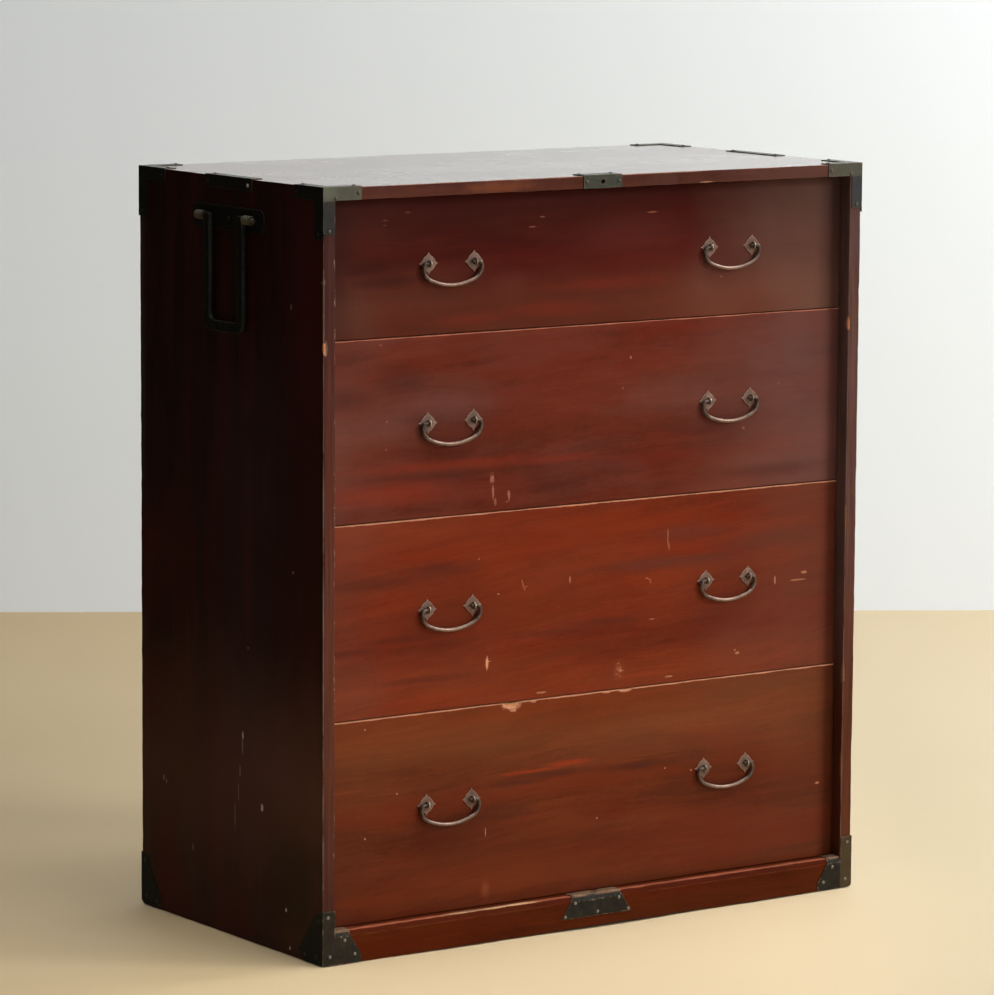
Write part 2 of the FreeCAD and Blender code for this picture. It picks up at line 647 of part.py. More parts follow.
def foot_corner_rear(label, sx):
    b = body(label + "_body")
    x_out = (half_w + it) * sx
    worn = D("worn_corner")
    # rear face: upright arm and slanted foot
    a = sketch(b, label + "_rear", "XZ_Plane", -half_d)
    outline(a, [(x_out, worn), ((half_w - 36.0) * sx, worn),
                ((half_w - D("foot_iron_front_run")) * sx, 14.0),
                ((half_w - 15.0) * sx, 40.0), ((half_w - 15.0) * sx, D("foot_iron_high")),
                (x_out, D("foot_iron_high"))])
    pad(b, a, it, True, label + "_rear_pad")
    e = sketch(b, label + "_side", "YZ_Plane", half_w * sx)
    outline(e, [(half_d + it, worn), (half_d - worn + 0.4, iron_low), (half_d - 32.0, iron_low),
                (half_d - 46.0, 8.0), (half_d - 20.0, 47.0),
                (half_d - 14.0, D("foot_iron_high") - 2.0), (half_d + it, D("foot_iron_high"))])
    pad(b, e, it, sx < 0, label + "_side_pad")
    node(b, label)


for sx, lr in ((-1, "left"), (1, "right")):
    foot_corner_front("corner_iron_bottom_front_" + lr, sx)
    foot_corner_rear("corner_iron_bottom_rear_" + lr, sx)

# lock plate on the middle of the top board's front edge
b = body("lock_plate_body")
a = sketch(b, "lock_plate_front", "XZ_Plane", half_d)
outline(a, [(-D("lock_half"), under_top), (D("lock_half"), under_top),
            (D("lock_half"), top + it), (-D("lock_half"), top + it)])
pad(b, a, it, False, "lock_plate_front_pad")
c = sketch(b, "lock_plate_over", "XY_Plane", top)
outline(c, [(-D("lock_half"), -half_d - it), (D("lock_half"), -half_d - it),
            (D("lock_half"), -half_d + D("lock_lap")), (-D("lock_half"), -half_d + D("lock_lap"))])
pad(b, c, it, False, "lock_plate_over_pad")
k = sketch(b, "lock_plate_keyhole", "XZ_Plane", half_d + 2)
kw = D("keyhole_wide") / 2
outline(k, [(kw * 0.5, key_z - 2.6), (kw, key_z - 0.4), (kw * 0.98, key_z + 0.9), (kw * 0.72, key_z + 2.0),
            (kw * 0.3, key_z + 2.5), (-kw * 0.3, key_z + 2.5), (-kw * 0.72, key_z + 2.0),
            (-kw * 0.98, key_z + 0.9), (-kw, key_z - 0.4), (-kw * 0.5, key_z - 2.6)])
pocket(b, k, 6, False, "lock_plate_keyhole_cut")
node(b, "lock_plate")

# sill plate: trapezoid folded over the sill, with the tongue slot
b = body("sill_plate_body")
sill_wrap(b, "sill_plate", -D("sill_plate_foot"), D("sill_plate_foot"), D("sill_plate_low"))
s = sketch(b, "sill_plate_slants", "XZ_Plane", half_d + 2)
for sx in (-1, 1):
    outline(s, [(D("sill_plate_top") * sx, sill_top + 3), (D("sill_plate_top") * sx, sill_top - 3),
                (D("sill_plate_foot") * sx, D("sill_plate_low") - 0.5),
                ((D("sill_plate_foot") + 3) * sx, D("sill_plate_low") - 0.5),
                ((D("sill_plate_foot") + 3) * sx, sill_top + 3)])
pocket(b, s, 20, False, "sill_plate_slants_cut")
s = sketch(b, "sill_plate_slot", "XY_Plane", sill_top + 2)
outline(s, [(D("slot_from"), slot_y - D("slot_wide")), (D("slot_to"), slot_y - D("slot_wide")),
            (D("slot_to"), slot_y + 3), (D("slot_from"), slot_y + 3)])
pocket(b, s, 4, False, "sill_plate_slot_cut")
node(b, "sill_plate")

# edge straps at mid-depth on the two top side edges
b = None
for sx, lr in ((-1, "left"), (1, "right")):
    label = "edge_strap_" + lr
    b = body(label + "_body")
    sh = D("strap_half")
    a = sketch(b, label + "_side", "YZ_Plane", half_w * sx)
    outline(a, [(-sh, top - D("strap_drop")), (sh, top - D("strap_drop")), (sh, top + it), (-sh, top + it)])
    pad(b, a, it, sx < 0, label + "_side_pad")
    c = sketch(b, label + "_over", "XY_Plane", top)
    outline(c, [((half_w + it) * sx, -sh), ((half_w + it) * sx, sh),
                ((half_w - D("strap_lap")) * sx, sh), ((half_w - D("strap_lap")) * sx, -sh)])
    pad(b, c, it, False, label + "_over_pad")
    node(b, label)

# ---------------------------------------------------------------------------
# Nails: one group of equal domed nails that hold all the irons
# ---------------------------------------------------------------------------
hw, hd, tp = half_w.v, half_d.v, top.v
thick = it.v
spots = []                                    # (point on the iron's face, outward normal)
for sx in (-1, 1):
    out_x = Vector(sx, 0, 0)
    for sy in (-1, 1):
        out_y = Vector(0, sy, 0)
        yf = sy * (hd + thick)
        xf = sx * (hw + thick)
        # top corner irons
        for x, z in ((hw - 47.0, tp - 7.0), (hw - 7.5, tp - 49.5), (hw - 16.5, tp - 12.5)):
            spots.append((Vector(sx * x, yf, z), out_y))
        for y, z in ((hd - 54.0, tp - 7.5), (hd - 8.5, tp - 53.0)):
            spots.append((Vector(xf, sy * y, z), out_x))
        for x, y in ((hw - 46.0, hd - 7.5), (hw - 7.5, hd - 54.0)):
            spots.append((Vector(sx * x, sy * y, tp + thick), Vector(0, 0, 1)))
    # bottom front irons
    yf = -(hd + thick)
    xf = sx * (hw + thick)
    for x, z in ((hw - 6.5, 57.5), (hw - 29.5, 28.5), (hw - 43.5, 10.5), (hw - 9.0, 11.0)):
        spots.append((Vector(sx * x, yf, z), Vector(0, -1, 0)))
    for y, z in ((-hd + 7.0, 52.5), (-hd + 12.0, 9.5), (-hd + 36.0, 9.0)):
        spots.append((Vector(xf, y, z), out_x))
    # bottom rear irons
    yf = hd + thick
    for x, z in ((hw - 7.5, 57.0), (hw - 9.5, 12.0), (hw - 37.5, 13.0)):
        spots.append((Vector(sx * x, yf, z), Vector(0, 1, 0)))
    for y, z in ((hd - 8.0, 55.5), (hd - 12.0, 12.0), (hd - 36.0, 9.5)):
        spots.append((Vector(xf, y, z), out_x))
    # edge straps
    for y in (-43.0, 43.0):
        spots.append((Vector(xf, y, tp - 7.5), out_x))
        spots.append((Vector(sx * (hw - 8.0), y, tp + thick), Vector(0, 0, 1)))
    # back plates of the carrying bails
    spots.append((Vector(sx * (hw + D("carry_plate_thick").v), -2.0, D("carry_high").v - 1.0), out_x))
# lock plate and sill plate
for x in (-23.0, 23.0):
    spots.append((Vector(x, -(hd + thick), tp - 7.0), Vector(0, -1, 0)))
    spots.append((Vector(x, -hd + 16.0, tp + thick), Vector(0, 0, 1)))
for x, z in ((-32.0, 31.0), (32.5, 31.0), (-46.5, 15.6), (46.5, 15.6), (1.0, 17.5)):
    spots.append((Vector(x, -(hd + thick), z), Vector(0, -1, 0)))

rh, dome, rs, deep = D("nail_head").v, D("nail_dome").v, D("nail_shank").v, D("nail_deep").v
ball = (rh * rh + dome * dome) / (2 * dome)
nails = []
for point, normal in spots:
    prof = [Vector(0, 0, -deep), Vector(rs * 0.35, 0, -deep + 0.4), Vector(rs, 0, -deep + 2.2),
            Vector(rs, 0, 0), Vector(rh, 0, 0)]
    edges = [Part.LineSegment(prof[i], prof[i + 1]).toShape() for i in range(len(prof) - 1)]
    half_angle = math.asin(rh / ball) / 2
    mid = Vector(ball * math.sin(half_angle), 0, dome - ball + ball * math.cos(half_angle))
    edges.append(Part.Arc(prof[-1], mid, Vector(0, 0, dome)).toShape())
    edges.append(Part.LineSegment(Vector(0, 0, dome), prof[0]).toShape())
    face = Part.Face(Part.Wire(edges))
    nail = face.revolve(Vector(0, 0, 0), Vector(0, 0, 1), 360)
    if nail.ShapeType != "Solid":
        nail = Part.Solid(nail)
    nail.Placement = Placement(point, Rotation(Vector(0, 0, 1), normal))
    nails.append(nail)
nail_obj = doc.addObject("Part::Feature", "iron_nails_group")
nail_obj.Shape = Part.makeCompound(nails)
nail_obj.Placement = Placement()
node(nail_obj, "iron_nails")

# ---------------------------------------------------------------------------
# Checks and export
# ---------------------------------------------------------------------------
doc.recompute()
bad = []
for obj in doc.Objects:
    state = [s for s in obj.State if s in ("Invalid", "Error")]
    if state:
        bad.append("%s (%s): %s" % (obj.Name, obj.Label, state))
for obj in NODES:
    shape = obj.Shape
    if shape.isNull() or not shape.isValid() or not shape.Solids:
        bad.append("%s has no valid solid" % obj.Label)
if bad:
    raise RuntimeError("\n".join(bad))
if len(NODES) > 60:
    raise RuntimeError("too many nodes: %d" % len(NODES))
for obj in NODES:
    obj.Shape.exportStep("parts/%s.step" % obj.Label)
box = FreeCAD.BoundBox()
for obj in NODES:
    box.add(obj.Shape.BoundBox)
    print("%-36s solids %3d  volume %12.1f mm3" % (obj.Label, len(obj.Shape.Solids), obj.Shape.Volume))
print("nodes", len(NODES), "box", [round(v, 2) for v in (box.XMin, box.XMax, box.YMin, box.YMax, box.ZMin, box.ZMax)])
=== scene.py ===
import json
import math
import random

import bmesh
import bpy
import numpy as np
from mathutils import Matrix, Vector, noise


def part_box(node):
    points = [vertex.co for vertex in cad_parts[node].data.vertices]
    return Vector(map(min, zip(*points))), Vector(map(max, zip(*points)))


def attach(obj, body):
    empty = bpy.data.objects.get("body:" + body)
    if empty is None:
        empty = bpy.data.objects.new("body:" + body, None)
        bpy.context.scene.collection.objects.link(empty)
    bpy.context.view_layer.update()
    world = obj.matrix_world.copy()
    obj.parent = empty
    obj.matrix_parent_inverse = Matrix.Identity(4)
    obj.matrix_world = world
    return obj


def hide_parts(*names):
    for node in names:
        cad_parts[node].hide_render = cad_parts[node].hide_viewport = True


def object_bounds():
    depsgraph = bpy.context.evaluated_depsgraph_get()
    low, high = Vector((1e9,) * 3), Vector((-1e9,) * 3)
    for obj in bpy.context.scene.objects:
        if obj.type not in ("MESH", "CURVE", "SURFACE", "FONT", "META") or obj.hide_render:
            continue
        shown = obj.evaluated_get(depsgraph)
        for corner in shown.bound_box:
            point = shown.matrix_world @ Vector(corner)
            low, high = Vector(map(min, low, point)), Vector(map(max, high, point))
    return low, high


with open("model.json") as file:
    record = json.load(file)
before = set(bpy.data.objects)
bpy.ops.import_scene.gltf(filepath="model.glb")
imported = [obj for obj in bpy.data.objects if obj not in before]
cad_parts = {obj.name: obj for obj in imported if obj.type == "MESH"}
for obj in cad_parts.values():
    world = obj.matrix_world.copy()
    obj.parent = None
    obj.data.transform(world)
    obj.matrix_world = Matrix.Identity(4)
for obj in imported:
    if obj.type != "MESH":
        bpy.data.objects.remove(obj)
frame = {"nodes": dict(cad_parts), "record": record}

# A lacquered four-drawer tansu. Everything is in metres, in the row frame:
# +X to the right, +Y to the back, +Z up, origin on the floor.
MM = 0.001
N = frame["nodes"]
CAD_LO, CAD_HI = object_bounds()
BODY = {}
for _b, _members in frame["record"]["behaviour"]["bodies"].items():
    for _m in _members:
        BODY[_m] = _b


def srgb(r, g, b):
    """8-bit display colour to linear."""
    out = []
    for c in (r, g, b):
        c /= 255.0
        out.append(c / 12.92 if c <= 0.04045 else ((c + 0.055) / 1.055) ** 2.4)
    return (out[0], out[1], out[2], 1.0)


# ---------------------------------------------------------------------------
# Camera, stage and light
# ---------------------------------------------------------------------------
scene = bpy.context.scene
cam_data = bpy.data.cameras.new("camera")
cam_data.sensor_fit = "AUTO"
cam_data.sensor_width = 36.0
cam_data.lens = 36.0 * 4906.4 / 995.0
cam_data.clip_start, cam_data.clip_end = 0.1, 60.0
cam = bpy.data.objects.new("camera", cam_data)
scene.collection.objects.link(cam)
_r = Vector((0.81960509, -0.57289895, 0.00585515))
_u = Vector((0.07493556, 0.11732558, 0.99026227))
_f = Vector((0.56800718, 0.81118524, -0.13909114))
_m = Matrix((_r, _u, -_f)).transposed().to_4x4()
_m.translation = Vector((-3.40054, -4.84570, 1.32554))
cam.matrix_world = _m
scene.camera = cam
scene.view_settings.view_transform = "Standard"
scene.view_settings.look = "None"


class Shader:
    """A small builder for node materials. Sockets and plain numbers mix freely."""

    def __init__(self, name):
        self.mat = bpy.data.materials.new(name)
        self.mat.use_nodes = True
        self.nt = self.mat.node_tree
        self.nt.nodes.clear()
        self.out = self.nt.nodes.new("ShaderNodeOutputMaterial")
        self.bsdf = self.nt.nodes.new("ShaderNodeBsdfPrincipled")
        self.nt.links.new(self.bsdf.outputs[0], self.out.inputs[0])
        tc = self.nt.nodes.new("ShaderNodeTexCoord")
        self.p = tc.outputs["Object"]
        self.n = tc.outputs["Normal"]
        self.x, self.y, self.z = self.sep(self.p)

    def new(self, kind):
        return self.nt.nodes.new(kind)

    def put(self, value, socket):
        if isinstance(value, bpy.types.NodeSocket):
            self.nt.links.new(value, socket)
        elif isinstance(value, (tuple, list, Vector)):
            v = list(value)
            n = len(socket.default_value)
            socket.default_value = (v + [1.0])[:n] if len(v) < n else v[:n]
        else:
            socket.default_value = value

    def math(self, op, a, b=None, c=None, clamp=False):
        nd = self.new("ShaderNodeMath")
        nd.operation = op
        nd.use_clamp = clamp
        self.put(a, nd.inputs[0])
        if b is not None:
            self.put(b, nd.inputs[1])
        if c is not None:
            self.put(c, nd.inputs[2])
        return nd.outputs[0]

    def add(self, a, b): return self.math("ADD", a, b)
    def sub(self, a, b): return self.math("SUBTRACT", a, b)
    def mul(self, a, b, clamp=False): return self.math("MULTIPLY", a, b, clamp=clamp)
    def min(self, a, b): return self.math("MINIMUM", a, b)
    def max(self, a, b): return self.math("MAXIMUM", a, b)
    def abs(self, a): return self.math("ABSOLUTE", a)
    def inv(self, a): return self.math("SUBTRACT", 1.0, a)

    def sep(self, v):
        nd = self.new("ShaderNodeSeparateXYZ")
        self.put(v, nd.inputs[0])
        return nd.outputs[0], nd.outputs[1], nd.outputs[2]

    def vec(self, x, y, z):
        nd = self.new("ShaderNodeCombineXYZ")
        self.put(x, nd.inputs[0]); self.put(y, nd.inputs[1]); self.put(z, nd.inputs[2])
        return nd.outputs[0]

    def vmul(self, v, s):
        nd = self.new("ShaderNodeVectorMath")
        nd.operation = "MULTIPLY"
        self.put(v, nd.inputs[0])
        nd.inputs[1].default_value = s
        return nd.outputs[0]

    def vadd(self, v, s):
        nd = self.new("ShaderNodeVectorMath")
        nd.operation = "ADD"
        self.put(v, nd.inputs[0])
        self.put(s, nd.inputs[1])
        return nd.outputs[0]

    def noise(self, v, scale=1.0, detail=2.0, rough=0.5, warp=0.0, colour=False):
        nd = self.new("ShaderNodeTexNoise")
        nd.noise_dimensions = "3D"
        self.put(v, nd.inputs["Vector"])
        nd.inputs["Scale"].default_value = scale
        nd.inputs["Detail"].default_value = detail
        nd.inputs["Roughness"].default_value = rough
        nd.inputs["Distortion"].default_value = warp
        return nd.outputs["Color"] if colour else nd.outputs[0]

    def voronoi(self, v, scale=1.0, feature="F1", out="Distance", rand=1.0):
        nd = self.new("ShaderNodeTexVoronoi")
        nd.feature = feature
        self.put(v, nd.inputs["Vector"])
        nd.inputs["Scale"].default_value = scale
        nd.inputs["Randomness"].default_value = rand
        return nd.outputs[out]

    def ramp(self, fac, stops, interp="LINEAR"):
        nd = self.new("ShaderNodeValToRGB")
        cr = nd.color_ramp
        cr.interpolation = interp
        while len(cr.elements) > 1:
            cr.elements.remove(cr.elements[-1])
        cr.elements[0].position, cr.elements[0].color = stops[0]
        for pos, col in stops[1:]:
            e = cr.elements.new(pos)
            e.color = col
        self.put(fac, nd.inputs[0])
        return nd.outputs[0]

    def mix(self, fac, a, b, mode="MIX"):
        nd = self.new("ShaderNodeMix")
        nd.data_type = "RGBA"
        nd.blend_type = mode
        nd.clamp_factor = True
        self.put(fac, nd.inputs[0])
        self.put(a, nd.inputs[6])
        self.put(b, nd.inputs[7])
        return nd.outputs[2]

    def lerp(self, fac, a, b):
        nd = self.new("ShaderNodeMix")
        nd.data_type = "FLOAT"
        nd.clamp_factor = True
        self.put(fac, nd.inputs[0])
        self.put(a, nd.inputs[2])
        self.put(b, nd.inputs[3])
        return nd.outputs[0]

    def remap(self, v, a, b, c=0.0, d=1.0, smooth=False):
        nd = self.new("ShaderNodeMapRange")
        nd.interpolation_type = "SMOOTHSTEP" if smooth else "LINEAR"
        nd.clamp = True
        self.put(v, nd.inputs[0])
        for i, q in zip((1, 2, 3, 4), (a, b, c, d)):
            self.put(q, nd.inputs[i])
        return nd.outputs[0]

    def step(self, v, a, b):
        """Smooth 0 at a to 1 at b (a may be above b)."""
        if isinstance(a, (int, float)) and isinstance(b, (int, float)) and a > b:
            return self.remap(v, b, a, 1.0, 0.0, smooth=True)
        return self.remap(v, a, b, 0.0, 1.0, smooth=True)

    def attr(self, name):
        nd = self.new("ShaderNodeAttribute")
        nd.attribute_name = name
        return nd.outputs["Fac"]

    def bump(self, height, strength, distance):
        nd = self.new("ShaderNodeBump")
        nd.inputs["Strength"].default_value = strength
        nd.inputs["Distance"].default_value = distance
        self.put(height, nd.inputs["Height"])
        self.put(nd.outputs[0], self.bsdf.inputs["Normal"])
        return nd.outputs[0]

    def edge(self, lo, hi):
        """Distance, in metres, to the nearest arris of the box lo..hi."""
        ds = []
        for c, a, b in zip((self.x, self.y, self.z), lo, hi):
            mid, half = (a + b) / 2, (b - a) / 2
            ds.append(self.sub(half, self.abs(self.sub(c, mid))))
        dx, dy, dz = ds
        return self.max(self.min(dx, dy), self.min(self.max(dx, dy), dz)), ds


stage_objs = []


def stage_plane(name, corners, mat):
    me = bpy.data.meshes.new(name)
    me.from_pydata([tuple(c) for c in corners], [], [(0, 1, 2, 3)])
    ob = bpy.data.objects.new(name, me)
    scene.collection.objects.link(ob)
    me.materials.append(mat)
    return ob


def floor_material():
    s = Shader("stage_floor")
    v = s.noise(s.p, 0.9, 3, 0.5)
    # painted shade: the floor is darker to the left, further back, and a little on the near right, standing in for
    # uneven room light
    side = s.remap(s.add(s.mul(s.x, 0.82), s.mul(s.y, -0.57)), -1.1, 0.9, smooth=True)
    col = s.mix(side, srgb(184, 161, 122), srgb(214, 194, 159))
    col = s.mix(s.remap(v, 0.35, 0.65, 0.0, 0.12), col, srgb(226, 206, 170))
    far_painted_shade = s.remap(s.add(s.mul(s.x, 0.57), s.mul(s.y, 0.82)), 0.5, 1.7, smooth=True)
    col = s.mix(s.mul(far_painted_shade, side), col, s.mix(1.0, col, (0.80, 0.80, 0.80, 1), "MULTIPLY"))
    near_right_painted_shade = s.remap(s.add(s.mul(s.x, 0.82), s.mul(s.y, -0.57)), 0.30, 0.60, smooth=True)
    col = s.mix(s.mul(near_right_painted_shade, s.inv(far_painted_shade)), col, s.mix(1.0, col, (0.83, 0.84, 0.82, 1), "MULTIPLY"))
    s.put(col, s.bsdf.inputs["Base Color"])
    s.bsdf.inputs["Roughness"].default_value = 0.6
    s.bsdf.inputs["Specular IOR Level"].default_value = 0.3
    return s.mat


def wall_material():
    s = Shader("stage_wall")
    s.bsdf.inputs["Base Color"].default_value = srgb(234, 241, 247)
    s.bsdf.inputs["Roughness"].default_value = 0.9
    s.bsdf.inputs["Specular IOR Level"].default_value = 0.1
    # the wall has one side only, so that it never hides the chest from behind
    geo = s.new("ShaderNodeNewGeometry")
    clear = s.new("ShaderNodeBsdfTransparent")
    mx = s.new("ShaderNodeMixShader")
    s.put(geo.outputs["Backfacing"], mx.inputs[0])
    s.nt.links.new(s.bsdf.outputs[0], mx.inputs[1])
    s.nt.links.new(clear.outputs[0], mx.inputs[2])
    s.nt.links.new(mx.outputs[0], s.out.inputs[0])
    return s.mat


def floor_mesh():
    """A flat floor that sinks a touch under the middle of the chest's front."""
    def ticks(a, b, n):
        return [a + (b - a) * i / n for i in range(n + 1)]
    xs = [-9.0, -3.0, -1.2] + ticks(-0.6, 0.6, 30) + [1.2, 3.0, 9.0]
    ys = [-9.0, -3.0, -1.2] + ticks(-0.5, 0.4, 24) + [1.2, 3.0, 9.0]
    verts, faces = [], []
    for y in ys:
        for x in xs:
            dip = max(0.0, 1.0 - ((x - 0.04) / 0.34) ** 2) * math.exp(-((y + 0.21) / 0.13) ** 2)
            verts.append((x, y, -0.0004 - 0.0026 * dip * (0.75 + 0.25 * math.sin(x * 23.0 + 1.0))))
    w = len(xs)
    for j in range(len(ys) - 1):
        for i in range(w - 1):
            faces.append((j * w + i, j * w + i + 1, (j + 1) * w + i + 1, (j + 1) * w + i))
    me = bpy.data.meshes.new("floor")
    me.from_pydata(verts, [], faces)
    me.polygons.foreach_set("use_smooth", [True] * len(me.polygons))
    ob = bpy.data.objects.new("floor", me)
    scene.collection.objects.link(ob)
    me.materials.append(floor_material())


floor_mesh()
_wa, _wb = Vector((0.543, 2.205, 0)), Vector((1.934, 1.329, 0))
_wd = (_wb - _wa).normalized()
_c = (_wa + _wb) / 2
_wl, _wr = _c - _wd * 2.2, _c + _wd * 3.4
stage_plane("wall", [(_wl.x, _wl.y, -0.001), (_wr.x, _wr.y, -0.001), (_wr.x, _wr.y, 3.2), (_wl.x, _wl.y, 3.2)], wall_material())


def area(name, where, target, size, power, colour=(1, 1, 1), size_y=None, spread=180):
    ld = bpy.data.lights.new(name, "AREA")
    ld.shape = "RECTANGLE" if size_y else "SQUARE"
    ld.size = size
    if size_y:
        ld.size_y = size_y
    ld.energy = power
    ld.color = colour
    ld.spread = math.radians(spread)
    ob = bpy.data.objects.new(name, ld)
    scene.collection.objects.link(ob)
    ob.location = where
    ob.rotation_mode = "QUATERNION"
    ob.rotation_quaternion = (Vector(target) - Vector(where)).to_track_quat("-Z", "Y")
    ob.visible_camera = False
    return ob


area("key", (4.55, -4.30, 3.30), (0.0, -0.2, 0.45), 1.6, 230, (1.0, 0.99, 0.975))
area("fill", (0.90, -5.60, 1.60), (0.0, -0.2, 0.60), 2.2, 75, (1.0, 0.99, 0.975))
area("wall_wash", (3.2, -0.4, 2.9), (1.4, 1.9, 0.8), 1.6, 140, (0.96, 0.98, 1.0))
area("overhead", (0.6, -1.5, 3.4), (0.3, -0.7, 0.0), 1.8, 28, (1.0, 0.985, 0.96))
area("left_floor", (-0.85, -0.05, 3.1), (-0.75, -0.05, 0.0), 0.8, 2.0, (1.0, 0.98, 0.94), spread=35)
area("front_floor", (0.0, -0.75, 3.1), (0.0, -0.45, 0.0), 0.8, 2.2, (1.0, 0.98, 0.94), spread=45)
area("wall_left", (-0.96, 0.98, 1.7), (-0.05, 2.5, 0.35), 0.9, 0.8, (0.97, 0.98, 1.0), spread=80)

world = bpy.data.worlds.new("world")
scene.world = world
world.use_nodes = True
wn = world.node_tree
wn.nodes.clear()
_o = wn.nodes.new("ShaderNodeOutputWorld")
_bg = wn.nodes.new("ShaderNodeBackground")
_bg.inputs[0].default_value = (0.80, 0.88, 1.0, 1)
_bg.inputs[1].default_value = 0.040
_bg2 = wn.nodes.new("ShaderNodeBackground")
_bg2.inputs[0].default_value = (0.80, 0.81, 0.81, 1)
_bg2.inputs[1].default_value = 0.85
_lp = wn.nodes.new("ShaderNodeLightPath")
_mx = wn.nodes.new("ShaderNodeMixShader")
wn.links.new(_lp.outputs["Is Camera Ray"], _mx.inputs[0])
wn.links.new(_bg.outputs[0], _mx.inputs[1])
wn.links.new(_bg2.outputs[0], _mx.inputs[2])
wn.links.new(_mx.outputs[0], _o.inputs[0])

# ---------------------------------------------------------------------------
# Materials: all patterns are solid textures in the row frame, so they ride
# with the drawers, and the grain runs the way each board was cut
# ---------------------------------------------------------------------------
def k(v, s):
    """A darker or lighter copy of a linear colour; s is a number or one per channel."""
    if not isinstance(s, (tuple, list)):
        s = (s, s, s)
    return (v[0] * s[0], v[1] * s[1], v[2] * s[2], 1.0)


def stretch(along, a, b):
    v = [b] * 3
    v["xyz".index(along)] = a
    return tuple(v)


def specks(s, seed, cells, share, size, scale=(1, 1, 1)):
    """Scattered small dots: one in some of the cells, each of its own size."""
    v = s.vadd(s.vmul(s.p, scale), (seed * 1.3, seed * 0.7, seed * 2.9))
    nd = s.new("ShaderNodeTexVoronoi")
    nd.feature = "F1"
    s.put(v, nd.inputs["Vector"])
    nd.inputs["Scale"].default_value = cells
    r, g, b = s.sep(nd.outputs["Color"])
    radius = s.mul(s.math("SUBTRACT", r, 1.0 - share), size * cells / share)
    wob = s.mul(s.sub(s.noise(s.p, 700.0, 2, 0.6), 0.5), size * cells * 1.1)
    d = s.add(nd.outputs["Distance"], wob)
    return s.mul(s.step(s.sub(radius, d), 0.0, size * cells * 0.35), s.step(r, 1.0 - share, 1.0 - share * 0.85))


def blob(s, centre, radii, ragged=0.5, grain=220.0, soft=0.25):
    """Mask of one ragged mark round a point."""
    parts = []
    for c, m, r in zip((s.x, s.y, s.z), centre, radii):
        q = s.mul(s.sub(c, m), 1.0 / r)
        parts.append(s.mul(q, q))
    d = s.math("SQRT", s.add(s.add(parts[0], parts[1]), parts[2]))
    d = s.add(d, s.mul(s.sub(s.noise(s.p, grain, 4, 0.65), 0.5), ragged * 2.0))
    return s.step(d, 1.0 + soft, max(0.0, 1.0 - soft))


def total(s, masks):
    out = masks[0]
    for m in masks[1:]:
        out = s.max(out, m)
    return out


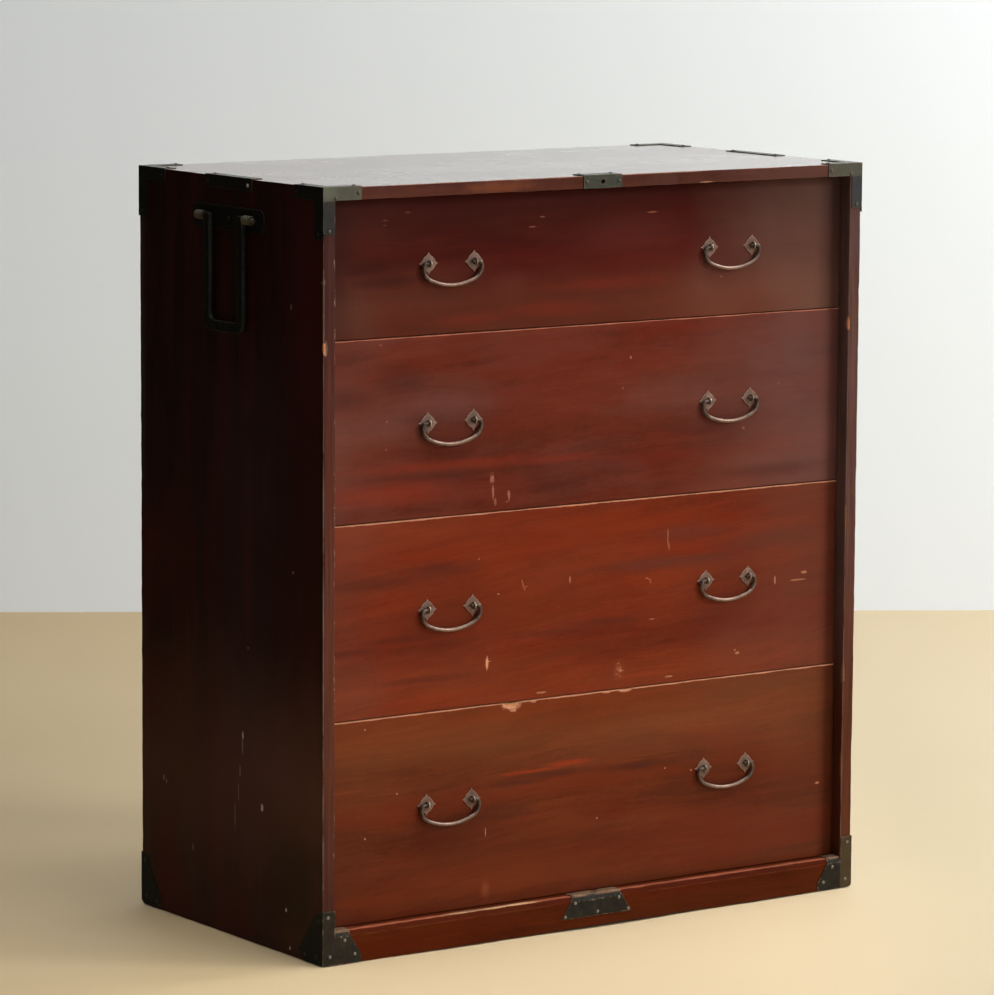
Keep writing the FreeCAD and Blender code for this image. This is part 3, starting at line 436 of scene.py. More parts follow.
def lacquer(name, lo, hi, tone, along="x", seed=0.0, contrast=1.0, across=1.0, red=0.5, worn=srgb(168, 108, 82),
            wear=0.0009, wear_amount=0.4, wear_front=None, marks=(), marks_amount=1.0, tint_marks=(), spots=0.3,
            rough=(0.46, 0.60), gloss=0.2, coat=0.0, coat_rough=0.2, raw=None, raw_where=None, extra=None,
            bump=0.25, grime=0.25, streaks=0.4, slant=0.0, wave=0.0, mottle=0.6):
    """Old lacquer through which the grain shows softly. lo..hi is the box whose
    arrises are rubbed; an arris that is pushed far away stays unworn."""
    s = Shader(name)
    shift = (seed * 3.7, seed * 5.1, seed * 2.3)
    # the grain runs a little askew and in slow waves
    grain_p = s.p
    if slant or wave:
        bend = s.mul(s.sub(s.noise(s.vadd(s.p, shift), 3.2, 2, 0.45), 0.5), wave)
        bend = s.sub(bend, s.mul(s.x, slant))
        grain_p = s.vadd(s.p, s.vec(0.0, 0.0, bend))

    def field(a, b, detail, rough_=0.5, warp=0.0, more=0.0):
        v = s.vadd(s.vmul(grain_p, stretch(along, a, b * across)), (shift[0] + more, shift[1], shift[2] - more))
        return s.noise(v, 1.0, detail, rough_, warp)

    broad = field(1.8, 8.0, 2, 0.5, 0.3)
    band = field(3.6, 42.0, 3, 0.5, 0.25, 3.0)
    streak = field(9.0, 125.0, 3, 0.55, 0.15, 7.0)
    fine = field(26.0, 420.0, 3, 0.6, 0.0, 11.0)
    cloud = s.noise(s.vadd(s.vmul(grain_p, stretch(along, 13.0, 30.0)), (shift[1], shift[2], 4.0)), 1.0, 4, 0.6, 0.3)
    fleck = s.noise(s.vmul(grain_p, stretch(along, 150.0, 420.0)), 1.0, 2, 0.6)
    t = s.mul(s.sub(broad, 0.5), 1.15 * contrast)
    t = s.add(t, s.mul(s.sub(cloud, 0.5), mottle * contrast))
    t = s.add(t, s.mul(s.sub(band, 0.5), 0.62 * contrast))
    t = s.add(t, s.mul(s.sub(streak, 0.5), 0.50 * contrast))
    t = s.add(t, s.mul(s.sub(fine, 0.5), 0.42 * contrast))
    t = s.add(t, s.mul(s.sub(fleck, 0.5), 0.34 * contrast))
    t = s.add(t, 0.5)
    col = s.ramp(t, [(0.05, k(tone, (0.50, 0.42, 0.46))), (0.32, k(tone, (0.78, 0.74, 0.76))), (0.5, tone),
                     (0.70, k(tone, (1.20, 1.26, 1.20))), (0.95, k(tone, (1.42, 1.66, 1.5)))], "EASE")
    # the colour swings between red and brown along the grain
    hue = field(2.6, 26.0, 3, 0.55, 0.4, 17.0)
    col = s.mix(s.mul(s.step(hue, 0.50, 0.68), red), col, k(tone, (1.22, 0.84, 0.70)))
    col = s.mix(s.mul(s.step(hue, 0.48, 0.32), red), col, k(tone, (0.84, 1.06, 1.10)))
    # sparse long streaks, some orange-red and some dark
    gate = s.noise(s.vadd(s.p, shift), 7.0, 2, 0.5)
    hot = field(6.5, 150.0, 2, 0.5, 0.1, 23.0)
    col = s.mix(s.mul(s.mul(s.step(hot, 0.60, 0.72), s.step(gate, 0.46, 0.60)), streaks), col, k(tone, (1.75, 1.75, 1.45)))
    cold = field(5.0, 110.0, 2, 0.5, 0.1, 31.0)
    col = s.mix(s.mul(s.mul(s.step(cold, 0.58, 0.72), s.step(gate, 0.56, 0.42)), streaks * 0.9), col, k(tone, (0.52, 0.50, 0.56)))
    if extra is not None:
        col = extra(s, col)
    # small bruises and flakes
    sp = specks(s, seed + 1.0, 17.0, 0.11, 0.0013)
    sp2 = specks(s, seed + 4.0, 8.0, 0.16, 0.0018, (1, 1, 0.6))
    spm = s.mul(s.max(sp, sp2), spots)
    col = s.mix(spm, col, k(worn, 0.8))
    # arrises: grime beside them, lacquer rubbed off on them in places
    e, ds = s.edge(lo, hi)
    gr = s.mul(s.step(e, 0.012, 0.001), s.mul(s.noise(s.p, 30.0, 3, 0.6), grime * 1.6))
    col = s.mix(gr, col, k(tone, (0.45, 0.42, 0.45)))
    n_long = s.noise(s.p, 17.0, 3, 0.6)
    n_fine = s.noise(s.p, 330.0, 4, 0.7)
    width = s.mul(s.remap(n_long, 0.5 - wear_amount * 0.34, 0.5 + (1 - wear_amount) * 0.34, 1.9, 0.0), wear)
    ee = s.add(e, s.mul(s.sub(n_fine, 0.5), wear * 1.3))
    wm = s.step(s.sub(width, ee), -0.0001, 0.0003)
    if wear_front is not None:
        # the upper front arris is rubbed along nearly its whole length
        near = s.add(s.sub(hi[2], s.z), s.mul(s.sub(n_fine, 0.5), wear_front * 0.8))
        front = s.step(s.y, lo[1] + 0.010, lo[1] + 0.005)
        lim = s.mul(s.remap(s.noise(s.p, 24.0, 4, 0.65), 0.33, 0.66, 0.55, 1.45), wear_front)
        wm = s.max(wm, s.mul(s.step(s.sub(lim, near), -0.0003, 0.0003), front))
    if marks:
        wm = s.max(wm, s.mul(total(s, [blob(s, *m) for m in marks]), marks_amount))
    for colour, strength, where in tint_marks:
        col = s.mix(s.mul(total(s, [blob(s, *w) for w in where]), strength), col, colour)
    tint = s.mix(s.noise(s.p, 120.0, 3, 0.6), k(worn, 0.62), k(worn, 1.15))
    col = s.mix(wm, col, tint)
    ragg = s.mix(s.noise(s.p, 260.0, 3, 0.6), k(srgb(196, 128, 88), 0.85), k(srgb(206, 148, 110), 1.15))
    chip = s.attr("chip")
    col = s.mix(s.step(chip, 0.25, 0.6), col, ragg)
    inside = None
    if raw is not None:
        inside = raw_where(s)
        col = s.mix(inside, col, raw_colour(s, raw, along, seed))
    s.put(col, s.bsdf.inputs["Base Color"])
    rg = s.remap(s.add(s.mul(broad, 0.5), s.mul(s.noise(s.p, 11.0, 4, 0.6), 0.5)), 0.35, 0.65, rough[0], rough[1])
    rg = s.lerp(s.max(wm, spm), rg, 0.78)
    if inside is not None:
        rg = s.lerp(inside, rg, 0.78)
    s.put(rg, s.bsdf.inputs["Roughness"])
    s.bsdf.inputs["Specular IOR Level"].default_value = gloss
    if coat:
        s.bsdf.inputs["Coat Roughness"].default_value = coat_rough
        cw = s.mul(s.inv(s.max(wm, spm)), coat)
        if inside is not None:
            cw = s.mul(cw, s.inv(inside))
        s.put(cw, s.bsdf.inputs["Coat Weight"])
    h = s.add(s.mul(fine, 0.6), s.mul(streak, 0.5))
    h = s.sub(h, s.mul(s.max(wm, spm), 0.7))
    s.bump(h, bump, 0.0004)
    return s.mat


def raw_colour(s, tone, along, seed):
    """Bare pale wood with fine grain lines, browned by age."""
    ring = s.noise(s.vadd(s.vmul(s.p, stretch(along, 2.2, 55.0)), (seed, seed, 2.0)), 1.0, 4, 0.6, 1.2)
    fine = s.noise(s.vmul(s.p, stretch(along, 14.0, 420.0)), 1.0, 3, 0.6)
    age = s.noise(s.p, 4.0, 4, 0.6)
    col = s.ramp(s.add(s.mul(ring, 0.75), s.mul(fine, 0.25)),
                 [(0.30, k(tone, 0.55)), (0.46, k(tone, 0.86)), (0.56, tone), (0.72, k(tone, 1.16))])
    return s.mix(s.mul(s.step(age, 0.42, 0.70), 0.45), col, k(tone, 0.5))


def bare_wood(name, tone, along="x", seed=0.0, rough=0.72):
    s = Shader(name)
    col = raw_colour(s, tone, along, seed)
    fine = s.noise(s.vmul(s.p, stretch(along, 9.0, 300.0)), 1.0, 4, 0.6)
    stain = specks(s, seed + 2.0, 12.0, 0.25, 0.003)
    col = s.mix(s.mul(stain, 0.35), col, k(tone, 0.35))
    s.put(col, s.bsdf.inputs["Base Color"])
    s.put(s.remap(fine, 0.3, 0.7, rough - 0.08, rough + 0.1), s.bsdf.inputs["Roughness"])
    s.bsdf.inputs["Specular IOR Level"].default_value = 0.3
    s.bump(fine, 0.4, 0.0004)
    return s.mat


def iron(name, dark, mid, rust, worn, seed=0.0, wear=0.5, rust_amount=0.35, metal=0.35, rough=(0.38, 0.62),
         edge_wear=0.8, low_rust=0.0, gloss=0.5, rub_from=(0.78, 1.02), extra=None, gate=None, top_coat=0.0):
    """Old lacquered iron: dark skin, brown bloom, rubbed places (mesh attribute rub)."""
    s = Shader(name)
    o = s.vadd(s.p, (seed, seed * 0.7, seed * 1.9))
    skin = s.noise(o, 60.0, 4, 0.6, 0.4)
    pit = s.noise(o, 420.0, 4, 0.65)
    big = s.noise(o, 26.0, 3, 0.55)
    col = s.mix(s.remap(skin, 0.32, 0.68), dark, mid)
    bloom = s.step(s.add(s.mul(big, 0.6), s.mul(pit, 0.4)), 0.46, 0.62)
    amount = rust_amount
    if low_rust:
        # iron near the floor has rusted more
        amount = s.add(rust_amount, s.mul(s.step(s.z, 0.30, 0.10), low_rust))
    col = s.mix(s.mul(bloom, amount), col, rust)
    if extra is not None:
        col = extra(s, col)
    rub = s.attr("rub")
    patch = s.noise(o, 150.0, 4, 0.7)
    em = s.mul(s.step(s.add(s.mul(rub, 0.55), patch), rub_from[0], rub_from[1]), edge_wear)
    sm = s.mul(s.step(s.add(skin, s.mul(s.sub(pit, 0.5), 0.5)), 0.60, 0.78), wear)
    wm = s.max(em, sm)
    if gate is not None:
        wm = s.mul(wm, gate(s))
    col = s.mix(wm, col, worn)
    s.put(col, s.bsdf.inputs["Base Color"])
    s.put(s.lerp(wm, metal, min(1.0, metal + 0.35)), s.bsdf.inputs["Metallic"])
    s.put(s.lerp(wm, s.remap(pit, 0.3, 0.7, rough[0], rough[1]), rough[0]), s.bsdf.inputs["Roughness"])
    s.bsdf.inputs["Specular IOR Level"].default_value = gloss
    if top_coat:
        # waxed with the top board, so it mirrors as the board does
        nx, ny, nz = s.sep(s.n)
        s.bsdf.inputs["Coat Roughness"].default_value = 0.14
        s.put(s.mul(s.step(nz, 0.80, 0.95), top_coat), s.bsdf.inputs["Coat Weight"])
    s.bump(s.add(s.mul(pit, 0.5), s.mul(skin, 1.4)), 0.45, 0.0005)
    return s.mat


def box_of(node):
    a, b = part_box(node)
    return tuple(a), tuple(b)


FAR = 10.0
WORN = srgb(170, 108, 82)
RAW = srgb(168, 128, 84)
# colour of the fronts' dust haze and painted sheen
HAZE_AND_SHEEN = srgb(128, 108, 104)
FRONT_Y = -0.185
GRIPS = {1: 0.806, 2: 0.6207, 3: 0.402, 4: 0.171}
M = {}

TONES = {1: srgb(70, 15, 6), 2: srgb(95, 37, 22), 3: srgb(106, 38, 16), 4: srgb(99, 45, 21)}
Y = FRONT_Y
MARKS = {
    1: [((0.1900, Y, 0.7700), (0.0009, 0.004, 0.0009), 0.4)],
    2: [((-0.1430, Y, 0.5360), (0.0008, 0.004, 0.0050), 1.1), ((-0.1392, Y, 0.5215), (0.0017, 0.004, 0.0036), 1.0),
        ((-0.1196, Y, 0.5240), (0.0014, 0.004, 0.0034), 1.1), ((-0.1225, Y, 0.5205), (0.0020, 0.004, 0.0008), 1.1),
        ((-0.3010, Y, 0.7150), (0.0011, 0.004, 0.0012), 0.4), ((-0.2920, Y, 0.6260), (0.0012, 0.004, 0.0013), 0.4),
        ((-0.2930, Y, 0.5935), (0.0011, 0.004, 0.0012), 0.4), ((0.0450, Y, 0.6440), (0.0012, 0.004, 0.0012), 0.4),
        ((0.2270, Y, 0.5840), (0.0019, 0.004, 0.0019), 0.5), ((0.2800, Y, 0.6350), (0.0010, 0.004, 0.0010), 0.4)],
    3: [((-0.1497, Y, 0.3310), (0.0019, 0.004, 0.0072), 0.35), ((0.1142, Y, 0.4600), (0.0006, 0.004, 0.0100), 0.4),
        ((0.1160, Y, 0.4480), (0.0006, 0.004, 0.0050), 0.4), ((-0.0306, Y, 0.4200), (0.0010, 0.004, 0.0036), 0.35),
        ((-0.1341, Y, 0.4117), (0.0016, 0.004, 0.0010), 0.5), ((-0.1622, Y, 0.4556), (0.0010, 0.004, 0.0010), 0.4),
        ((0.2787, Y, 0.3930), (0.0013, 0.004, 0.0052), 0.4), ((0.3140, Y, 0.3905), (0.012, 0.004, 0.0009), 0.55),
        ((0.3240, Y, 0.3990), (0.0040, 0.004, 0.0016), 0.7), ((0.2214, Y, 0.3080), (0.0028, 0.004, 0.0018), 0.6),
        ((0.2180, Y, 0.3120), (0.0012, 0.004, 0.0010), 0.6), ((0.0450, Y, 0.3035), (0.0026, 0.004, 0.0018), 1.0),
        ((0.0915, Y, 0.3616), (0.0040, 0.004, 0.0006), 0.8),
        ((-0.0700, Y, 0.2880), (0.0075, 0.004, 0.0012), 0.9), ((0.1180, Y, 0.2890), (0.0060, 0.004, 0.0010), 0.9)],
    4: [((-0.1136, Y, 0.2770), (0.0125, 0.006, 0.0052), 0.75), ((-0.1120, Y, 0.2735), (0.0055, 0.006, 0.0045), 0.8),
        ((0.0521, Y, 0.2788), (0.0095, 0.006, 0.0022), 0.5), ((0.0250, Y, 0.2790), (0.0060, 0.006, 0.0013), 0.6),
        ((-0.0830, Y, 0.2790), (0.0045, 0.006, 0.0020), 0.7), ((0.1135, Y, 0.1769), (0.0010, 0.004, 0.0010), 0.4),
        ((0.1530, Y, 0.1702), (0.0012, 0.004, 0.0010), 0.4), ((0.0122, Y, 0.1268), (0.0011, 0.004, 0.0010), 0.4),
        ((-0.3212, Y, 0.1401), (0.0013, 0.004, 0.0012), 0.4), ((-0.3215, Y, 0.2687), (0.0011, 0.004, 0.0010), 0.4),
        ((-0.2767, Y, 0.1883), (0.0010, 0.004, 0.0010), 0.4), ((-0.1508, Y, 0.1286), (0.0005, 0.004, 0.0050), 0.9),
        ((0.3500, Y, 0.1330), (0.0030, 0.004, 0.0014), 0.8)],
}


def front_look(n, lo, hi):
    top = hi[2]
    painted_sheen_right = {1: 0.29, 2: 0.22, 3: 0.24, 4: 0.10}[n]
    veil_left = {1: 0.05, 2: 0.09, 3: 0.16, 4: 0.05}[n]

    def look(s, col):
        # darker, greyer zones where the hands and bails have dirtied the lacquer
        for cx in (-0.2036, 0.2036):
            zone = blob(s, (cx, FRONT_Y, GRIPS[n] - 0.022), (0.060, 0.3, 0.048), 0.30, 22.0, 0.85)
            col = s.mix(s.mul(zone, 0.24), col, srgb(62, 24, 17))
        if n == 1:
            # painted shadow: the top of drawer 1 is darkened under the top rail's overhang, where its shadow falls
            shade = s.add(s.z, s.mul(s.sub(s.noise(s.vmul(s.p, (5.0, 20.0, 30.0)), 1.0, 3, 0.5), 0.5), 0.05))
            col = s.mix(s.mul(s.step(shade, top - 0.085, top - 0.012), 0.46), col, srgb(44, 13, 11))
        # broad lighter and darker bands, as the boards have faded and been handled
        drift = s.mul(s.sub(s.noise(s.vmul(s.p, (4.0, 9.0, 14.0)), 1.0, 3, 0.5), 0.5), 0.06)
        zz = s.add(s.z, drift)
        if n == 1:
            low = s.step(zz, lo[2] + 0.080, lo[2] + 0.018)
            left = s.mul(s.step(s.abs(s.sub(zz, lo[2] + 0.056)), 0.034, 0.010), s.step(s.x, -0.12, -0.24))
            col = s.mix(s.mul(left, 0.07), col, srgb(150, 92, 68))
            col = s.mix(s.mul(low, 0.12), col, srgb(134, 89, 63))
            col = s.mix(s.mul(s.mul(low, s.step(s.x, 0.00, 0.20)), 0.11), col, srgb(170, 95, 70))
        if n == 2:
            low = s.mul(s.step(zz, 0.650, 0.590), s.step(s.x, 0.10, 0.24))
            col = s.mix(s.mul(low, 0.10), col, srgb(152, 94, 76))
            pale = s.mul(s.step(s.abs(s.sub(zz, 0.640)), 0.060, 0.015), s.step(s.x, -0.12, -0.28))
            col = s.mix(s.mul(pale, 0.08), col, srgb(120, 108, 98))
        if n == 3:
            col = s.mix(s.mul(s.step(zz, lo[2] + 0.070, lo[2] + 0.020), 0.10), col, srgb(188, 98, 58))
            col = s.mix(s.mul(s.mul(s.step(zz, top - 0.060, top - 0.020), s.step(s.x, -0.10, -0.28)), 0.07), col, srgb(190, 92, 54))
        if n == 4:
            high = s.step(zz, top - 0.070, top - 0.025)
            upper = s.mul(s.step(s.abs(s.sub(zz, 0.212)), 0.040, 0.012), s.mul(s.step(s.x, -0.24, 0.02), s.step(s.x, 0.37, 0.28)))
            col = s.mix(s.mul(upper, 0.10), col, srgb(168, 96, 62))
            col = s.mix(s.mul(high, 0.09), col, srgb(168, 76, 34))
            col = s.mix(s.mul(s.mul(high, s.step(s.x, 0.00, 0.25)), 0.05), col, srgb(150, 110, 80))
            low = s.mul(s.step(zz, 0.188, 0.112), s.remap(s.x, 0.02, 0.36, 1.0, 0.25))
            col = s.mix(low, col, s.mix(1.0, col, (0.77, 0.66, 0.70, 1), "MULTIPLY"))
        # a soft veil towards the ends and in faint clouds: at the right end it is a painted sheen, a painted reflection
        # of the bright window; elsewhere it is dust and old polish
        wob = s.mul(s.sub(s.noise(s.vadd(s.p, (n * 3.0, 1.0, 2.0)), 7.0, 3, 0.5), 0.5), 0.22)
        sheen_vr = s.mul(s.step(s.add(s.x, wob), 0.13, 0.36), painted_sheen_right)
        vl = s.mul(s.step(s.add(s.x, wob), -0.26, -0.37), veil_left)
        haze = s.noise(s.vadd(s.vmul(s.p, (8.0, 9.0, 26.0)), (n * 5.0, 3.0, 1.0)), 1.0, 4, 0.6, 0.3)
        vc = s.mul(s.step(haze, 0.40, 0.75), {1: 0.02, 2: 0.06, 3: 0.05, 4: 0.05}[n])
        col = s.mix(s.add(s.max(sheen_vr, vl), vc), col, {1: srgb(122, 104, 92), 2: HAZE_AND_SHEEN, 3: srgb(104, 80, 66), 4: srgb(100, 78, 58)}[n])
        # painted shade: the fronts darken a little towards the right and much more at the right end, where the right
        # stile shades them in the recess
        col = s.mix(s.step(s.x, 0.05, 0.36), col, s.mix(1.0, col, ((0.96, 0.96, 0.96, 1) if n == 1 else (0.89, 0.89, 0.91, 1)), "MULTIPLY"))
        end = s.mul(s.step(s.x, 0.330 if n == 1 else 0.340, 0.366 if n == 1 else 0.371), 0.90 if n == 1 else 0.72)
        return s.mix(end, col, s.mix(1.0, col, (0.40, 0.36, 0.38, 1), "MULTIPLY"))
    return look


def soft(x, z, rx, rz, ragged=0.35, grain=22.0, edge=0.85):
    return ((x, FRONT_Y, z), (rx, 0.3, rz), ragged, grain, edge)


TINTS = {
    1: [(srgb(40, 16, 13), 0.50, [soft(-0.366, 0.800, 0.022, 0.120), soft(-0.330, 0.803, 0.060, 0.010, 0.5, 40.0),
                                  soft(-0.300, 0.788, 0.050, 0.007, 0.5, 40.0)]),
        (srgb(84, 58, 46), 0.24, [soft(-0.345, 0.748, 0.035, 0.022, 0.5, 40.0)]),
        (srgb(112, 60, 50), 0.14, [soft(0.060, 0.830, 0.060, 0.022), soft(-0.120, 0.775, 0.020, 0.016, 0.5, 60.0)]),
        (srgb(168, 104, 82), 0.44, [((0.0852, FRONT_Y, 0.8520), (0.0066, 0.004, 0.0010), 0.8, 260.0, 0.5),
                                   ((-0.0885, FRONT_Y, 0.8420), (0.0046, 0.004, 0.0008), 0.9, 260.0, 0.5),
                                   ((-0.0740, FRONT_Y, 0.8530), (0.0036, 0.004, 0.0008), 0.9, 260.0, 0.5)]),
        (srgb(138, 74, 58), 0.32, [((-0.2955, FRONT_Y, 0.8580), (0.0036, 0.004, 0.0011), 0.7, 220.0, 0.4),
                                   ((-0.2960, FRONT_Y, 0.8525), (0.0022, 0.004, 0.0010), 0.7, 220.0, 0.4),
                                   ((-0.2645, FRONT_Y, 0.8660), (0.0038, 0.004, 0.0012), 0.7, 220.0, 0.4)]),
        (srgb(118, 36, 22), 0.34, [soft(-0.060, 0.744, 0.060, 0.008, 0.8, 60.0), soft(-0.180, 0.738, 0.045, 0.006, 0.8, 60.0),
                                   soft(0.020, 0.770, 0.070, 0.006, 0.8, 60.0)])],
    2: [(srgb(136, 46, 22), 0.34, [soft(-0.285, 0.542, 0.075, 0.012, 0.6, 50.0), soft(-0.200, 0.570, 0.110, 0.0045, 0.6, 60.0),
                                   soft(-0.050, 0.566, 0.050, 0.004, 0.6, 60.0)]),
        (srgb(56, 22, 17), 0.34, [soft(-0.220, 0.558, 0.110, 0.004, 0.6, 50.0), soft(-0.060, 0.536, 0.055, 0.010, 0.6, 40.0),
                                  soft(0.280, 0.530, 0.065, 0.007, 0.6, 40.0), soft(-0.352, 0.702, 0.030, 0.009, 0.6, 40.0),
                                  soft(-0.352, 0.656, 0.028, 0.012, 0.6, 40.0), soft(-0.272, 0.672, 0.030, 0.016, 0.6, 40.0)]),
        (srgb(188, 124, 102), 0.48, [((-0.1440, FRONT_Y, 0.5490), (0.0030, 0.004, 0.0050), 1.6, 330.0, 0.4),
                                   ((-0.1425, FRONT_Y, 0.5330), (0.0012, 0.004, 0.0080), 1.0, 260.0, 0.5),
                                   ((-0.1200, FRONT_Y, 0.5290), (0.0018, 0.004, 0.0040), 1.2, 300.0, 0.4),
                                   ((0.0560, FRONT_Y, 0.6800), (0.0014, 0.004, 0.0020), 1.0, 300.0, 0.4)]),
        (srgb(134, 106, 102), 0.10, [soft(-0.203, 0.640, 0.050, 0.014, 0.6, 40.0), soft(0.120, 0.632, 0.075, 0.020, 0.6, 30.0),
                                     soft(-0.300, 0.620, 0.040, 0.020, 0.6, 30.0)])],
    3: [(srgb(66, 30, 24), 0.46, [soft(-0.315, 0.4390, 0.060, 0.007, 0.6, 40.0), soft(-0.225, 0.4475, 0.060, 0.007, 0.6, 40.0),
                                  soft(-0.345, 0.3600, 0.045, 0.0038, 0.6, 50.0), soft(-0.285, 0.3700, 0.045, 0.0038, 0.6, 50.0),
                                  soft(-0.060, 0.3590, 0.045, 0.0042, 0.6, 50.0), soft(0.020, 0.3650, 0.055, 0.0042, 0.6, 50.0),
                                  soft(-0.240, 0.3200, 0.060, 0.004, 0.6, 50.0)]),
        (srgb(78, 48, 40), 0.44, [soft(0.150, 0.4620, 0.050, 0.008, 0.6, 40.0), soft(0.280, 0.4450, 0.070, 0.010, 0.6, 40.0),
                                  soft(0.120, 0.4290, 0.110, 0.006, 0.6, 40.0)]),
        (srgb(214, 160, 128), 0.60, [((-0.1497, FRONT_Y, 0.3310), (0.0017, 0.004, 0.0066), 0.35, 260.0, 0.5)]),
        (srgb(186, 118, 88), 0.48, [((-0.1000, FRONT_Y, 0.4235), (0.0008, 0.004, 0.0026), 0.8, 300.0, 0.5),
                                     ((-0.0984, FRONT_Y, 0.4190), (0.0009, 0.004, 0.0030), 0.8, 300.0, 0.5),
                                     ((-0.0962, FRONT_Y, 0.4148), (0.0008, 0.004, 0.0024), 0.8, 300.0, 0.5),
                                     ((-0.0940, FRONT_Y, 0.4172), (0.0014, 0.004, 0.0006), 0.8, 300.0, 0.5),
                                     ((0.0835, FRONT_Y, 0.4120), (0.0022, 0.004, 0.0007), 0.8, 300.0, 0.5),
                                     ((0.0872, FRONT_Y, 0.4100), (0.0018, 0.004, 0.0009), 0.8, 300.0, 0.5),
                                     ((0.0890, FRONT_Y, 0.4068), (0.0008, 0.004, 0.0020), 0.8, 300.0, 0.5),
                                     ((0.0420, FRONT_Y, 0.3120), (0.0020, 0.004, 0.0008), 0.9, 300.0, 0.5),
                                     ((0.0445, FRONT_Y, 0.3070), (0.0022, 0.004, 0.0012), 0.9, 300.0, 0.5),
                                     ((0.0405, FRONT_Y, 0.3060), (0.0010, 0.004, 0.0022), 0.9, 300.0, 0.5),
                                     ((0.0478, FRONT_Y, 0.3030), (0.0018, 0.004, 0.0007), 0.9, 300.0, 0.5),
                                     ((0.0395, FRONT_Y, 0.2990), (0.0024, 0.004, 0.0008), 0.9, 300.0, 0.5),
                                     ((0.0440, FRONT_Y, 0.2965), (0.0012, 0.004, 0.0007), 0.9, 300.0, 0.5)]),
        (srgb(150, 84, 58), 0.26, [((0.0430, FRONT_Y, 0.3045), (0.0070, 0.004, 0.0095), 1.1, 200.0, 0.7)]),
        (srgb(132, 50, 20), 0.24, [soft(-0.040, 0.4780, 0.170, 0.016), soft(-0.150, 0.4900, 0.080, 0.010)])],
    4: [(srgb(158, 52, 24), 0.46, [((-0.085, FRONT_Y, 0.1945), (0.040, 0.02, 0.0018), 0.6, 70.0, 0.6),
                                   ((-0.030, FRONT_Y, 0.1990), (0.030, 0.02, 0.0032), 0.6, 70.0, 0.6)]),
        (srgb(50, 28, 24), 0.50, [soft(-0.045, 0.1880, 0.055, 0.0042, 0.6, 50.0), soft(-0.110, 0.1830, 0.040, 0.0036, 0.6, 50.0),
                                  soft(0.070, 0.1850, 0.045, 0.0040, 0.7, 50.0)]),
        (srgb(112, 72, 42), 0.24, [soft(-0.200, 0.2450, 0.170, 0.020), soft(0.050, 0.2350, 0.120, 0.016)]),
        (srgb(126, 52, 18), 0.20, [soft(-0.130, 0.0780, 0.150, 0.018), soft(-0.300, 0.0640, 0.060, 0.012)]),
        (srgb(98, 34, 20), 0.34, [soft(0.220, 0.0900, 0.130, 0.028)]),
        (srgb(140, 74, 44), 0.40, [((-0.151, FRONT_Y, 0.0600), (0.0055, 0.02, 0.009), 0.7, 90.0, 0.6)])],
}
for n in (1, 2, 3, 4):
    lo, hi = box_of("drawer_%d_front" % n)
    M["front_%d" % n] = lacquer(
        "lacquer_front_%d" % n, (-FAR, lo[1], -FAR), (FAR, FAR, hi[2]), TONES[n], "x", seed=11.0 + n * 7.3, marks=MARKS[n],
        marks_amount=(0.6, 0.5, 0.6, 0.82)[n - 1], tint_marks=TINTS.get(n, ()), wear=0.0003, wear_amount=0.2, wear_front=(None, 0.0011, 0.0015, 0.0015)[n - 1],
        worn=(srgb(176, 108, 86) if n == 2 else srgb(194, 132, 102)), raw=RAW, raw_where=lambda s: s.step(s.y, -0.1835, -0.1805), extra=front_look(n, lo, hi),
        gloss=0.05, rough=(0.40, 0.54), contrast=(0.72, 0.78, 0.90, 0.86)[n - 1], grime=0.0, streaks=(0.26, 0.22, 0.26, 0.24)[n - 1], spots=0.40,
        slant=(0.02, 0.05, 0.08, 0.04)[n - 1], wave=(0.03, 0.05, 0.05, 0.035)[n - 1], mottle=0.45)
